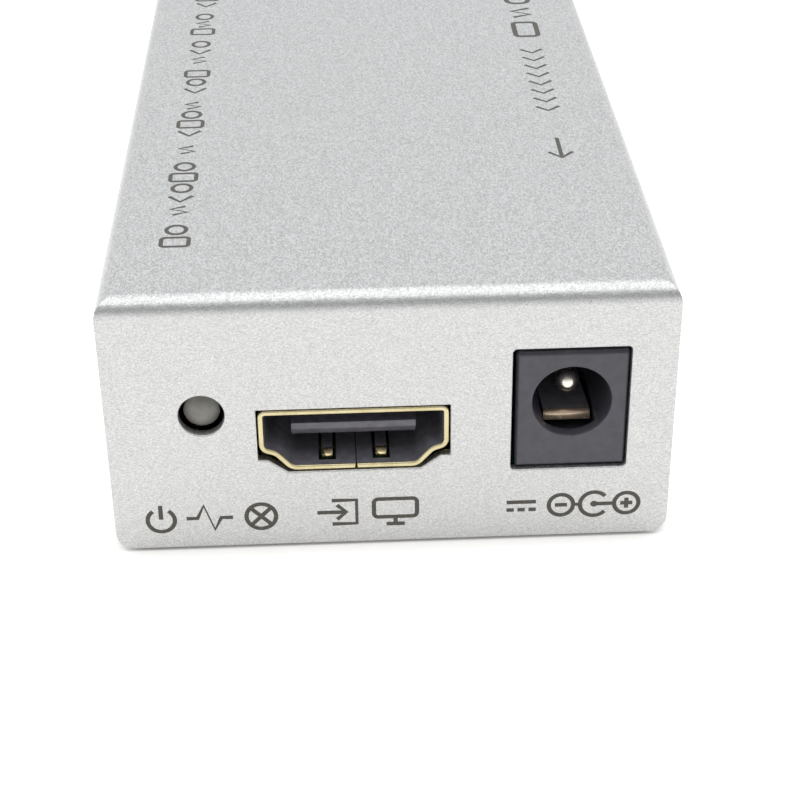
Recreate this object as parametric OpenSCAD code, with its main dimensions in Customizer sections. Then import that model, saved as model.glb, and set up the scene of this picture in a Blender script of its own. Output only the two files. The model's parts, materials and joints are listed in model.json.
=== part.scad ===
// Small metal-cased video extender box: a folded sheet cover over a flat base,
// with a video socket, a power jack and a status lamp in front and a network socket behind.
// The front panel faces -Y, the floor is z = 0 and the box is centred on x = 0, y = 0.

/* [Case] */
// Width of the case across the front
case_w = 45; // [45:0.5:52]
// Length of the case from the front panel to the rear panel
case_l = 90; // [86:1:110]
// Height of the case above the floor
case_h = 23.1; // [22.6:0.1:27]
// Thickness of the folded sheet
sheet_t = 1; // [0.8:0.05:1.2]
// Outside radius of the folded edges
fold_r = 1.55; // [1.1:0.05:2]
// Radius of the free lower corners of the panels
corner_r = 1.6; // [0.8:0.1:2.5]
// Height of the cover's lower edge above the floor
cover_lift = 0.25; // [0.1:0.05:0.5]
// Width of the slit between two folded walls
slit_w = 0.15; // [0.1:0.05:0.3]
// Gap between the base and the cover all round
base_gap = 0.15; // [0.1:0.05:0.4]

/* [Screws and posts] */
// Distance of the side screws from the middle of the case
side_screw_y = 29; // [24:1:36]
// Height of the side screws above the floor
side_screw_z = 6; // [5:0.25:8]
// Radius of the side screws' thread
side_screw_r = 1.25; // [1:0.05:1.5]
// Radius of the side screws' flat head
side_head_r = 2.3; // [2:0.05:2.8]
// Length of a side screw that shows past the base ear
side_screw_past = 0.3; // [0.1:0.05:0.35]
// Width of a base ear along the case
ear_w = 9; // [7:0.5:12]
// Height of a base ear above the floor
ear_h = 9.4; // [8.5:0.1:11]
// Distance of the front posts behind the front panel
post_front = 20; // [19:0.5:24]
// Distance of the rear posts ahead of the rear panel
post_rear = 6; // [5:0.5:10]
// Distance of the posts from the board's long edges
post_inset = 3.6; // [3:0.1:4]
// Radius of a post
post_r = 2.6; // [2.2:0.1:3]
// Radius of a board screw's thread
board_screw_r = 1.25; // [1:0.05:1.5]
// Radius of a board screw's head
board_head_r = 2.3; // [2:0.1:2.8]

/* [Circuit board] */
// Height of the board's top face, as a share of the height that the network socket leaves free
board_height_share = 0.784; // [0.74:0.002:0.84]
// Thickness of the board
board_t = 1.6; // [1:0.1:2]
// Gap between the board's long edges and the cover's side walls
board_side_gap = 1.5; // [1.45:0.05:1.8]
// Gap between the board's ends and the panels
board_end_gap = 0.4; // [0.3:0.1:1]

/* [Status lamp] */
// Place of the lamp across the case, as a share of its width from the middle
lamp_place_share = -0.331; // [-0.345:0.001:-0.325]
// Height of the lamp above the floor
lamp_z = 12.8; // [11:0.1:16]
// Radius of the lamp's hole
lamp_hole_r = 1.81; // [1.7:0.05:2.2]
// Radius of the lamp's lens
lamp_r = 1.45; // [1.2:0.05:1.6]

/* [Video socket] */
// Place of the socket across the case, as a share of its width from the middle
video_place_share = -0.066; // [-0.075:0.001:-0.06]
// Width of the socket's lip
video_w = 15.15; // [14.8:0.05:15.6]
// Height of the socket's lip
video_h = 5.6; // [5.4:0.05:6]
// Height of the lip's lowest edge above the board
video_seat = 0.5; // [0.3:0.05:1]
// Thickness of the socket's shell
video_shell_t = 0.35; // [0.25:0.05:0.4]
// Depth of the socket
video_depth = 11.6; // [10.5:0.1:13]
// Gap between the lip and the panel's cut-out
video_gap = 0.1; // [0.05:0.05:0.3]

/* [Power jack] */
// Place of the jack across the case, as a share of its width from the middle
jack_place_share = 0.3185; // [0.312:0.0005:0.322]
// Width of the jack
jack_w = 8.9; // [8.6:0.1:9.2]
// Height of the jack
jack_h = 10.5; // [10:0.1:11]
// Depth of the jack
jack_depth = 14; // [13:0.5:15]
// Radius of the jack's bore
jack_bore_r = 3.15; // [2.9:0.05:3.3]
// Height of the jack's bore above the board
jack_bore_z = 6; // [5.8:0.1:6.4]
// Radius of the centre pin
jack_pin_r = 1; // [0.8:0.05:1.25]

/* [Network socket] */
// Width of the socket's shield
net_w = 16; // [15.5:0.1:16.6]
// Height of the socket's shield
net_h = 13.3; // [13:0.1:13.6]
// Depth of the socket
net_depth = 21; // [19:0.5:22]
// Width of the plug opening
net_open_w = 11.9; // [11.8:0.1:12.2]
// Height of the plug opening
net_open_h = 6.9; // [6.8:0.1:7.2]

/* [Hidden] */

$fn = 48;
wire_sides = 24;

// Overrun of every cut past the face that it opens
over = 0.5;
// Plain running clearance between neighbours
clear = 0.1;
// Hair gap between a sprung part and its root
hair = 0.03;

// Case
front_y = -case_l / 2;
rear_y = case_l / 2;
inner_w = case_w - 2 * sheet_t;
inner_l = case_l - 2 * sheet_t;
wall_end_y = rear_y - sheet_t;
base_t = 1;
ear_t = 1;
ear_x = inner_w / 2 - clear;
side_screw_len = sheet_t + clear + ear_t + side_screw_past;
drive_w = 0.5;
drive_r = 1.35;
drive_depth = 0.7;

// Board, posts and board screws
board_w = inner_w - 2 * board_side_gap;
board_l = inner_l - 2 * board_end_gap;
board_top = (case_h - sheet_t - net_h) * board_height_share;
board_bottom = board_top - board_t;
post_x = board_w / 2 - post_inset;
post_front_y = front_y + post_front;
post_rear_y = rear_y - post_rear;
post_hex_sides = 6;
post_shank_r = 2;
post_floor = 0.8;
board_head_h = 1.5;
board_head_top_share = 0.8;
board_screw_gap = 1.1;
board_screw_len = board_top - post_floor - board_screw_gap;

// Status lamp
lamp_x = case_w * lamp_place_share;
lamp_set_back = 0.95;
lamp_dome_h = 0.6;
lamp_body_l = 4.2;
lamp_rim_r = 1.65;
lamp_rim_l = 1;
lead_t = 0.5;
lead_pitch = 2.54;
lead_tail = 1;
lead_run = 1.6;
lamp_lead_y = front_y + lamp_set_back + lamp_body_l + lamp_rim_l + lead_run;

// Video socket: lip, stepped outline and cut-out
video_x = case_w * video_place_share;
lip_set_back = 0.05;
lip_front = front_y + lip_set_back;
lip_l = 0.7;
lip_flare = 0.1;
video_z0 = board_top + video_seat;
video_shoulder_h = 1.8;
video_step_h = 1.42;
video_step_w = 1.2;
video_bottom_w = 10.2;
video_corner_r = 0.62;
video_side_r = 0.9;
video_hollow_r = 0.9;
video_foot_r = 1.2;
video_cut_shoulder = 1.15;
video_cut_step = 0.8;
video_wall = lip_flare + video_shell_t;
video_floor = video_z0 + video_wall;
video_ceiling = video_z0 + video_h - video_wall;
video_tail_l = 1.2;
video_leg_w = 1.2;
video_leg_inset = 2.2;
video_leg_x = video_w / 2 - lip_flare - video_shell_t / 2;
seam_w = 0.08;
seam_x = 0.14;

// Video socket: sprung fingers, tongue and contacts
spring_pitch = 4.35;
spring_w = 0.9;
spring_l = 4.2;
spring_crest_share = 1 / 6;
spring_tip_back = 1.05;
spring_rise = 0.55;
spring_slot_gap = 0.25;
spring_tip_r = 0.35;
spring_root_r = video_shell_t / 2;
spring_tip_y = lip_front + spring_tip_back;
spring_root_y = spring_tip_y + spring_l;
spring_root_z = video_floor - video_shell_t / 2;
tongue_w = 10;
tongue_t = 1.7;
tongue_nose_t = 0.6;
tongue_back = 1.15;
tongue_taper_l = 1.1;
tongue_top_gap = 1.4;
tongue_y0 = lip_front + tongue_back;
tongue_z1 = video_ceiling - tongue_top_gap;
tongue_z0 = tongue_z1 - tongue_t;
socket_back_y = lip_front + video_depth - video_shell_t;
socket_block_l = 4;
contact_pitch = 1;
contact_w = 0.26;
contact_t = 0.12;
contact_setback = 1.6;
contacts_top = 10;
contacts_low = 9;

// Power jack
jack_x = case_w * jack_place_share;
jack_set_back = 0.3;
jack_front = front_y + jack_set_back;
jack_axis_z = board_top + jack_bore_z;
jack_cut_slack_w = 0.4;
jack_cut_slack_h = 0.6;
jack_cut_shift = 0.13;
jack_cut_drop = 0.08;
jack_cut_r = 0.35;
jack_cut_w = jack_w + jack_cut_slack_w;
jack_cut_h = jack_h + jack_cut_slack_h;
jack_cut_x = jack_x - jack_cut_shift;
jack_cut_z0 = board_top - jack_cut_drop;
jack_corner_r = 0.35;
jack_chamfer_l = 0.35;
jack_chamfer_side = 0.18;
jack_chamfer_top = 0.3;
jack_wall_l = 1;
jack_head_l = 3.4;
jack_barrel_r = 4;
jack_shoulder_h = 6.2;
jack_bore_l = 11;
jack_pin_back = 2.5;
jack_pin_tail_l = 1.8;
jack_shank_r = 0.7;
leaf_w = 3.8;
leaf_t = 0.3;
leaf_top_below = 2.6;
leaf_root_below = 3.9;
leaf_tip_back = 2.75;
leaf_lip_h = 0.75;
leaf_root_back = 11.6;
leaf_root_r = 0.3;
leaf_slot_gap = 0.25;
leaf_root_y = jack_front + leaf_root_back;
leaf_root_z = jack_axis_z - leaf_root_below;
leaf_tip_y = jack_front + leaf_tip_back;
leaf_top_z = jack_axis_z - leaf_top_below;
terminal_w = 2.6;
terminal_t = 0.3;
terminal_tail = 2.6;
terminal_back = 1;
terminal_y = jack_front + jack_depth + terminal_back;
leaf_foot_y = jack_front + jack_head_l + 2 * terminal_w;

// Network socket
net_set_back = 0.1;
net_face = rear_y - net_set_back;
net_back_y = net_face - net_depth;
net_shield_t = 0.25;
net_gap = 0.15;
net_open_above = 3.1;
net_open_z0 = board_top + net_open_above;
net_ceiling = net_open_z0 + net_open_h;
net_cavity_l = 12.6;
net_notch_w = 6.2;
net_notch_h = 1.5;
net_latch_w = 3.4;
net_latch_h = 1;
net_count = 8;
net_pitch = 1.02;
net_wire_r = 0.22;
net_knuckle_r = 0.3;
net_pivot_in = 1.6;
net_pivot_below_top = 0.75;
net_pivot_y = net_face - net_shield_t - net_pivot_in;
net_pivot_z = net_ceiling - net_pivot_below_top;
net_wire_l = 8.6;
net_wire_slope = 22;
net_comb_gap = 0.2;
net_comb_rise = 1;
net_lamp_w = 2.4;
net_lamp_h = 2;
net_lamp_above = 1.5;
net_lamp_z = board_top + net_lamp_above;
net_lamp_x = 6.2;
net_lamp_l = 8;
net_peg_r = 1.6;
net_peg_x = 5.7;
net_peg_l = 2.4;
net_peg_in = 9;
net_tail_l = 2.6;
net_tail_in = 2.2;

// Leads and chips; each place is a share of the board's half width and half length
foot_l = 1;
foot_w = 0.4;
foot_t = 0.2;
lead_rise = 0.8;
chip_lift = 0.1;
small_pitch = 1.27;
main_size = 14;
main_h = 1.6;
main_place_share = [-0.08, -0.206];
main_leads = 12;
main_lead_pitch = 1;
sink_size = 13;
sink_base = 1.5;
sink_h = 6;
sink_fins = 6;
sink_fin_t = 0.9;
memory_w = 3.9;
memory_l = 4.9;
memory_h = 1.5;
memory_place_share = [-0.77, -0.015];
memory_leads = 4;
control_w = 5.3;
control_l = 7.2;
control_h = 1.8;
control_place_share = [0.575, 0.07];
control_leads = 10;
control_pitch = 0.65;
crystal_l = 11;
crystal_w = 4.6;
crystal_h = 3.4;
crystal_place_share = [-0.73, -0.25];
crystal_rim = 0.4;
crystal_rim_h = 0.5;
magnet_w = 9.6;
magnet_l = 12.7;
magnet_h = 5.6;
magnet_place_share = [0, 0.25];
magnet_leads = 8;
coil_size = 6;
coil_h = 3;
coil_flange_t = 0.7;
coil_core_r = 1.6;
coil_wire_r = 2.5;
coil_place_share = [0.63, -0.31];
can_r = 2.5;
can_h = 5.4;
can_base = 5.3;
can_base_h = 0.8;
can_bevel = 1;
can_step = 0.3;
can_place_shares = [[0.7, -0.147], [0.67, 0.27], [-0.68, 0.33]];
regulator_w = 6.5;
regulator_l = 3.5;
regulator_h = 1.6;
regulator_place_share = [-0.68, 0.155];
regulator_tab_w = 3;
regulator_tab_l = 1.7;
regulator_tab_t = 0.25;
regulator_pitch = 2.3;
array_w = 1.6;
array_l = 2.6;
array_h = 0.6;
array_count = 3;
array_pitch = 3.6;
array_gap = 3.2;
array_y = lip_front + video_depth + array_gap;
passive_l = 1.6;
passive_w = 0.8;
row_count = 4;
row_pitch = 1.5;
capacitor_h = 0.8;
capacitor_row_shares = [[-0.72, 0.45], [-0.35, 0.045], [0.6, 0.39], [-0.28, -0.518]];
resistor_h = 0.45;
resistor_row_shares = [[-0.72, 0.55], [0.415, -0.45], [-0.4, -0.565], [0.7, 0.5]];
solder_wall = 0.1;
solder_spread = 0.2;
solder_h = 0.8;

// Colours of the dark moulded pieces
socket_dark = [0.12, 0.12, 0.13];
jack_dark = [0.16, 0.16, 0.18];
chip_dark = [0.1, 0.1, 0.11];
lamp_milk = [0.62, 0.61, 0.58];

// Outline helpers

// Box between two opposite corners
module span(a, b) {
  translate(a) cube(b - a);
}

// Child drawn in x and z, pushed along y from y0 to y1
module along_y(y0, y1) {
  translate([0, y1, 0]) rotate([90, 0, 0]) linear_extrude(y1 - y0) children();
}

// Child drawn in y and z, pushed along x from x0 to x1
module along_x(x0, x1) {
  translate([x0, 0, 0]) rotate([90, 0, 90]) linear_extrude(x1 - x0) children();
}

// Upright wall outline with rounded upper corners
module arch_2d(w, z0, z1, r) {
  translate([-w / 2, z0]) square([w, z1 - r - z0]);
  translate([r - w / 2, z0]) square([w - 2 * r, z1 - z0]);
  for (side = [-1, 1]) translate([side * (w / 2 - r), z1 - r]) circle(r);
}

// Rectangle with four rounded corners, from its lower left corner
module soft_rect(w, h, r) {
  translate([r, 0]) square([w - 2 * r, h]);
  translate([0, r]) square([w, h - 2 * r]);
  for (x = [r, w - r]) for (z = [r, h - r]) translate([x, z]) circle(r);
}

// Points of an arc that rounds the corner b between a and c with radius r
function unit(v) = v / norm(v);
function corner_arc(a, b, c, r, steps) =
  let (
    u = unit(a - b),
    v = unit(c - b),
    half_angle = acos(u * v) / 2,
    reach = r / tan(half_angle),
    centre = b + unit(u + v) * r / sin(half_angle),
    p = b + u * reach - centre,
    q = b + v * reach - centre,
    start = atan2(p.y, p.x),
    turn = atan2(q.y, q.x) - start,
    sweep = turn > 180 ? turn - 360 : (turn < -180 ? turn + 360 : turn)
  )
  [for (i = [0 : steps]) centre + r * [cos(start + sweep * i / steps), sin(start + sweep * i / steps)]];

// Corner i of a clockwise outline, with both of its edges moved inwards by d
function inner_normal(v) = [unit(v).y, -unit(v).x];
function inset_corner(points, i, d) =
  let (
    n = len(points),
    before = inner_normal(points[i] - points[(i + n - 1) % n]),
    after = inner_normal(points[(i + 1) % n] - points[i])
  )
  points[i] + (before + after) * d / (1 + before * after);

// Closed outline through corner points, each with its own radius
function rounded_path(points, radii, steps = 5) = [
  for (i = [0 : len(points) - 1])
    let (n = len(points), a = points[(i + n - 1) % n], c = points[(i + 1) % n])
    for (p = corner_arc(a, points[i], c, radii[i], steps)) p
];

// Case

// Block with the case's outside shape, drawn in by shrink, from height z0
module cover_block(shrink, z0) {
  r = fold_r - shrink;
  intersection() {
    along_y(front_y + shrink, rear_y - shrink)
      arch_2d(case_w - 2 * shrink, z0, case_h - shrink, r);
    along_x(shrink - case_w / 2, case_w / 2 - shrink)
      arch_2d(case_l - 2 * shrink, z0, case_h - shrink, r);
  }
}

// Waste outside the rounded lower corners of a wall outline of width w
module corner_waste_2d(w) {
  for (side = [-1, 1]) difference() {
    translate([side * w / 2 - (side < 0 ? over : corner_r), cover_lift - over])
      square([corner_r + over, corner_r + over]);
    translate([side * (w / 2 - corner_r), cover_lift + corner_r]) circle(corner_r);
  }
}

// Cut-outs of the panels
module video_cut_2d() {
  w = video_w / 2 + video_gap;
  z1 = video_z0 + video_h + video_gap;
  z0 = video_z0 - video_gap;
  shoulder_z = z0 + video_cut_shoulder;
  flat_w = video_bottom_w / 2 + video_gap + video_gap;
  translate([video_x, 0]) polygon([
    [-w, z1], [-w, shoulder_z], [-w + video_cut_step, shoulder_z], [-flat_w, z0],
    [flat_w, z0], [w - video_cut_step, shoulder_z], [w, shoulder_z], [w, z1]
  ]);
}

module jack_cut_2d() {
  translate([jack_cut_x - jack_cut_w / 2, jack_cut_z0]) soft_rect(jack_cut_w, jack_cut_h, jack_cut_r);
}

module net_cut_2d() {
  translate([-net_w / 2 - net_gap, board_top - net_gap])
    soft_rect(net_w + 2 * net_gap, net_h + 2 * net_gap, jack_cut_r);
}

// Places of the four side screws, each turned to face its wall
module at_side_screws() {
  for (side = [-1, 1]) for (end = [-1, 1])
    translate([side * case_w / 2, end * side_screw_y, side_screw_z])
      rotate([0, side * 90, 0]) children();
}

module cover() {
  color("silver") difference() {
    cover_block(0, cover_lift);
    cover_block(sheet_t, cover_lift - over);
    along_y(front_y - over, front_y + sheet_t + over) {
      corner_waste_2d(case_w);
      translate([lamp_x, lamp_z]) circle(lamp_hole_r);
      video_cut_2d();
      jack_cut_2d();
    }
    along_y(rear_y - sheet_t - over, rear_y + over) {
      corner_waste_2d(case_w);
      net_cut_2d();
    }
    for (end = [-1, 1])
      span(
        [-case_w / 2 - over, end * wall_end_y - slit_w / 2, 0],
        [case_w / 2 + over, end * wall_end_y + slit_w / 2, case_h - fold_r]
      );
    along_x(-case_w / 2 - over, case_w / 2 + over) intersection() {
      corner_waste_2d(2 * wall_end_y - slit_w);
      translate([-wall_end_y, 0]) square([2 * wall_end_y, case_h]);
    }
    at_side_screws() translate([0, 0, -sheet_t - clear])
      cylinder(sheet_t + 2 * clear, side_screw_r + clear, side_head_r + 2 * clear);
  }
}

module base_plate() {
  w = inner_w - 2 * base_gap;
  l = inner_l - 2 * base_gap;
  color("gainsboro") difference() {
    union() {
      span([-w / 2, -l / 2, 0], [w / 2, l / 2, base_t]);
      for (side = [-1, 1]) for (end = [-1, 1])
        translate([side * (ear_x - ear_t / 2), end * side_screw_y, 0])
          along_x(-ear_t / 2, ear_t / 2) arch_2d(ear_w, 0, ear_h, ear_w / 4);
    }
    at_side_screws() translate([0, 0, -sheet_t - clear - ear_t - over])
      cylinder(ear_t + 2 * over, r = side_screw_r);
    at_posts() translate([0, 0, -over]) cylinder(base_t + 2 * over, r = post_shank_r);
  }
}

// Cross recess in a screw head, from the head's face at z = 0 downwards
module cross_recess() {
  for (turn = [0, 90]) rotate(turn)
    span([-drive_r, -drive_w / 2, -drive_depth], [drive_r, drive_w / 2, over]);
}

module side_screws() {
  color("dimgray") at_side_screws() difference() {
    union() {
      translate([0, 0, -side_screw_len]) cylinder(side_screw_len, r = side_screw_r);
      translate([0, 0, -sheet_t]) cylinder(sheet_t, side_screw_r, side_head_r);
    }
    cross_recess();
  }
}

// Posts and board screws

module at_posts() {
  for (side = [-1, 1]) for (y = [post_front_y, post_rear_y])
    translate([side * post_x, y, 0]) children();
}

module board_posts() {
  color("lightgray") at_posts() difference() {
    union() {
      cylinder(base_t, r = post_shank_r);
      translate([0, 0, base_t]) cylinder(board_bottom - base_t, r = post_r, $fn = post_hex_sides);
    }
    translate([0, 0, post_floor]) cylinder(board_bottom, r = board_screw_r);
  }
}

module board_screws() {
  color("lightgray") at_posts() translate([0, 0, board_top]) difference() {
    union() {
      translate([0, 0, -board_screw_len]) cylinder(board_screw_len, r = board_screw_r);
      cylinder(board_head_h, board_head_r, board_head_r * board_head_top_share);
    }
    translate([0, 0, board_head_h]) cross_recess();
  }
}

// Circuit board

module circuit_board() {
  color("seagreen") difference() {
    span([-board_w / 2, -board_l / 2, board_bottom], [board_w / 2, board_l / 2, board_top]);
    at_posts() translate([0, 0, board_bottom - over])
      cylinder(board_t + 2 * over, r = board_screw_r + clear);
    for (side = [-1, 1]) translate([side * net_peg_x, net_face - net_peg_in, board_bottom - over])
      cylinder(board_t + 2 * over, r = net_peg_r);
    for (p = through_leads()) translate([p.x, p.y, board_bottom - over])
      cylinder(board_t + 2 * over, r = corner_reach(p.z) + hair, $fn = wire_sides);
    at_video_legs() translate([0, 0, board_bottom - over]) span(
      [-video_shell_t / 2 - clear, -video_leg_w / 2 - clear, 0],
      [video_shell_t / 2 + clear, video_leg_w / 2 + clear, board_t + 2 * over]
    );
    at_terminals() translate([0, 0, board_bottom - over]) span(
      [-terminal_w / 2 - clear, -terminal_t / 2 - clear, 0],
      [terminal_w / 2 + clear, terminal_t / 2 + clear, board_t + 2 * over]
    );
  }
}

// Square leads that go through the board: x, y and half the lead's width
function through_leads() = concat(
  [for (side = [-1, 1]) [lamp_x + side * lead_pitch / 2, lamp_lead_y, lead_t / 2]],
  [for (i = [0 : net_count - 1]) [net_wire_x(i), net_tail_y(i), net_wire_r]]
);

// Distance from a square lead's middle to its corner
function corner_reach(half) = norm([half, half]);

// Status lamp

module lamp_lens() {
  dome_r = (lamp_r * lamp_r + lamp_dome_h * lamp_dome_h) / (2 * lamp_dome_h);
  color(lamp_milk) translate([lamp_x, front_y + lamp_set_back, lamp_z]) rotate([-90, 0, 0]) {
    cylinder(lamp_body_l, r = lamp_r);
    translate([0, 0, lamp_body_l]) cylinder(lamp_rim_l, r = lamp_rim_r);
    intersection() {
      translate([0, 0, dome_r - lamp_dome_h]) sphere(dome_r);
      translate([0, 0, -lamp_dome_h]) cylinder(lamp_dome_h, r = lamp_r);
    }
  }
}

module lamp_leads() {
  y0 = front_y + lamp_set_back + lamp_body_l + lamp_rim_l;
  color("lightgray") for (side = [-1, 1]) translate([lamp_x + side * lead_pitch / 2, 0, 0]) {
    span(
      [-lead_t / 2, y0, lamp_z - lead_t / 2],
      [lead_t / 2, lamp_lead_y + lead_t / 2, lamp_z + lead_t / 2]
    );
    span(
      [-lead_t / 2, lamp_lead_y - lead_t / 2, board_bottom - lead_tail],
      [lead_t / 2, lamp_lead_y + lead_t / 2, lamp_z]
    );
  }
}

// Video socket

// Stepped outline of the socket, moved inwards by inset; a negative radius marks a hollow corner
module video_outline(inset) {
  w = video_w / 2;
  top = video_z0 + video_h;
  side_z = video_z0 + video_shoulder_h;
  step_z = video_z0 + video_step_h;
  step_x = w - video_step_w;
  foot_x = video_bottom_w / 2;
  corners = [
    [-w, top], [w, top], [w, side_z], [step_x, step_z],
    [foot_x, video_z0], [-foot_x, video_z0], [-step_x, step_z], [-w, side_z]
  ];
  blends = [
    video_corner_r, video_corner_r, video_side_r, -video_hollow_r,
    video_foot_r, video_foot_r, -video_hollow_r, video_side_r
  ];
  translate([video_x, 0]) polygon(rounded_path(
    [for (i = [0 : len(corners) - 1]) inset_corner(corners, i, inset)],
    [for (r = blends) r > 0 ? r - inset : inset - r]
  ));
}

module at_video_legs() {
  for (side = [-1, 1]) for (back = [video_leg_inset, video_depth - video_leg_inset])
    translate([video_x + side * video_leg_x, lip_front + back, 0]) children();
}

module video_shell() {
  color("gold") difference() {
    union() {
      along_y(lip_front, lip_front + lip_l) video_outline(0);
      along_y(lip_front + lip_l, lip_front + video_depth) video_outline(lip_flare);
      at_video_legs() span(
        [-video_shell_t / 2, -video_leg_w / 2, board_bottom - video_tail_l / 2],
        [video_shell_t / 2, video_leg_w / 2, video_z0 + video_h / 2]
      );
    }
    along_y(lip_front - over, socket_back_y) video_outline(video_wall);
    span(
      [video_x + seam_x - seam_w / 2, lip_front - over, video_z0 - over],
      [video_x + seam_x + seam_w / 2, lip_front + video_depth + over, video_floor + over]
    );
    for (side = [-1, 1]) translate([video_x + side * spring_pitch / 2, 0, 0]) span(
      [-spring_w / 2 - spring_slot_gap, spring_tip_y - spring_slot_gap, video_z0 - over],
      [spring_w / 2 + spring_slot_gap, spring_root_y + spring_root_r + hair, video_floor + over]
    );
  }
}

// Sprung fingers in the shell's floor, bent up to press on the plug
module video_springs() {
  crest_y = spring_tip_y + spring_l * spring_crest_share;
  crest_z = video_floor + spring_rise;
  t = video_shell_t;
  color("gold") for (side = [-1, 1]) translate([video_x + side * spring_pitch / 2, 0, 0]) intersection() {
    along_x(-spring_w / 2, spring_w / 2) {
      translate([spring_root_y, spring_root_z]) circle(spring_root_r);
      polygon([
        [spring_root_y, spring_root_z - t / 2], [spring_root_y, spring_root_z + t / 2],
        [crest_y, crest_z], [spring_tip_y, crest_z - t], [spring_tip_y + t / 2, crest_z - 2 * t],
        [crest_y + t / 4, crest_z - t]
      ]);
    }
    translate([-spring_w / 2, spring_tip_y, video_z0 - over]) linear_extrude(crest_z - video_z0 + 2 * over)
      soft_rect(spring_w, spring_l + 2 * spring_root_r, spring_tip_r);
  }
}

// Insulator: a block across the back of the socket and the tongue in front of it
module video_tongue() {
  block_y = socket_back_y - socket_block_l;
  color(socket_dark) difference() {
    union() {
      along_y(block_y, socket_back_y) video_outline(video_wall);
      along_x(video_x - tongue_w / 2, video_x + tongue_w / 2) polygon([
        [tongue_y0, tongue_z1 - tongue_nose_t], [tongue_y0, tongue_z1],
        [block_y + over, tongue_z1], [block_y + over, tongue_z0],
        [tongue_y0 + tongue_taper_l, tongue_z0]
      ]);
    }
    for (i = [0 : contacts_top - 1]) contact_bar(i, contacts_top, tongue_z1 - contact_t, over);
    for (i = [0 : contacts_low - 1]) contact_bar(i, contacts_low, tongue_z0 - over, over);
  }
}

// One contact strip along the tongue, from height z, made thicker by extra
module contact_bar(i, count, z, extra) {
  x = video_x + (i - (count - 1) / 2) * contact_pitch;
  span(
    [x - contact_w / 2, tongue_y0 + contact_setback, z],
    [x + contact_w / 2, socket_back_y - clear, z + contact_t + extra]
  );
}

module video_contacts() {
  color("goldenrod") {
    for (i = [0 : contacts_top - 1]) contact_bar(i, contacts_top, tongue_z1 - contact_t, 0);
    for (i = [0 : contacts_low - 1]) contact_bar(i, contacts_low, tongue_z0, 0);
  }
}

// Power jack

// Square head of the jack's body, chamfered round its front face
module jack_head() {
  side = jack_w / 2;
  low = board_top;
  high = board_top + jack_h;
  slope_y = jack_front + jack_chamfer_l;
  back = jack_front + jack_head_l;
  intersection() {
    along_y(jack_front, back) translate([jack_x - side, low]) soft_rect(jack_w, jack_h, jack_corner_r);
    along_x(jack_x - side, jack_x + side) polygon([
      [jack_front, low + jack_chamfer_side], [jack_front, high - jack_chamfer_top],
      [slope_y, high], [back, high], [back, low], [slope_y, low]
    ]);
    translate([jack_x, 0, low]) linear_extrude(jack_h) polygon([
      [jack_chamfer_side - side, jack_front], [side - jack_chamfer_side, jack_front],
      [side, slope_y], [side, back], [-side, back], [-side, slope_y]
    ]);
  }
}

module jack_body() {
  z0 = board_top;
  color(jack_dark) difference() {
    union() {
      jack_head();
      span(
        [jack_x - jack_w / 2, jack_front + jack_head_l, z0],
        [jack_x + jack_w / 2, jack_front + jack_depth, z0 + jack_shoulder_h]
      );
      along_y(jack_front + jack_head_l, jack_front + jack_depth)
        translate([jack_x, jack_axis_z]) circle(jack_barrel_r);
    }
    along_y(jack_front - over, jack_front + jack_bore_l)
      translate([jack_x, jack_axis_z]) circle(jack_bore_r);
    along_y(jack_front - over, jack_front + jack_depth + over)
      translate([jack_x, jack_axis_z]) circle(jack_shank_r);
    translate([jack_x, 0, 0]) span(
      [-leaf_w / 2 - leaf_slot_gap, jack_front + jack_wall_l, leaf_root_z - leaf_root_r - hair],
      [leaf_w / 2 + leaf_slot_gap, leaf_root_y + leaf_root_r + hair, jack_axis_z]
    );
    span(
      [jack_x - terminal_w / 2, leaf_root_y, leaf_root_z - leaf_t / 2],
      [jack_x + terminal_w / 2, terminal_y, leaf_root_z + leaf_t / 2]
    );
  }
}

// Centre pin with a round nose and a thinner shank through the back wall
module jack_pin() {
  y0 = jack_front + jack_pin_back + jack_pin_r;
  y1 = jack_front + jack_bore_l;
  y2 = jack_front + jack_depth + jack_pin_tail_l;
  color("silver") {
    along_y(y0, y1) translate([jack_x, jack_axis_z]) circle(jack_pin_r);
    along_y(y1, y2) translate([jack_x, jack_axis_z]) circle(jack_shank_r);
    translate([jack_x, y0, jack_axis_z]) intersection() {
      sphere(jack_pin_r);
      span([-jack_pin_r, -jack_pin_r, -jack_pin_r], [jack_pin_r, 0, jack_pin_r]);
    }
  }
}

// Sprung sleeve contact that presses on the plug from below
module jack_leaf() {
  t = leaf_t;
  color("darkgoldenrod") along_x(jack_x - leaf_w / 2, jack_x + leaf_w / 2) {
    translate([leaf_root_y, leaf_root_z]) circle(leaf_root_r);
    polygon([
      [leaf_root_y, leaf_root_z - t / 2], [leaf_root_y, leaf_root_z + t / 2],
      [leaf_tip_y + 2 * t, leaf_top_z], [leaf_tip_y + t / 2, leaf_top_z],
      [leaf_tip_y, leaf_top_z - leaf_lip_h], [leaf_tip_y + t, leaf_top_z - leaf_lip_h],
      [leaf_tip_y + 2 * t, leaf_top_z - t]
    ]);
  }
}

// Slots of the jack's two feet in the board
module at_terminals() {
  for (y = [terminal_y, leaf_foot_y]) translate([jack_x, y, 0]) children();
}

module jack_terminals() {
  color("lightgray") difference() {
    union() {
      span(
        [jack_x - terminal_w / 2, terminal_y - terminal_t / 2, board_top - terminal_tail],
        [jack_x + terminal_w / 2, terminal_y + terminal_t / 2, jack_axis_z + 2 * jack_pin_r]
      );
      span(
        [jack_x - terminal_w / 2, leaf_root_y + leaf_root_r + 2 * hair, leaf_root_z - leaf_t / 2],
        [jack_x + terminal_w / 2, terminal_y - terminal_t / 2 - clear, leaf_root_z + leaf_t / 2]
      );
    }
    along_y(terminal_y - over, terminal_y + over) translate([jack_x, jack_axis_z]) circle(jack_shank_r);
  }
}

// Network socket

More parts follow.
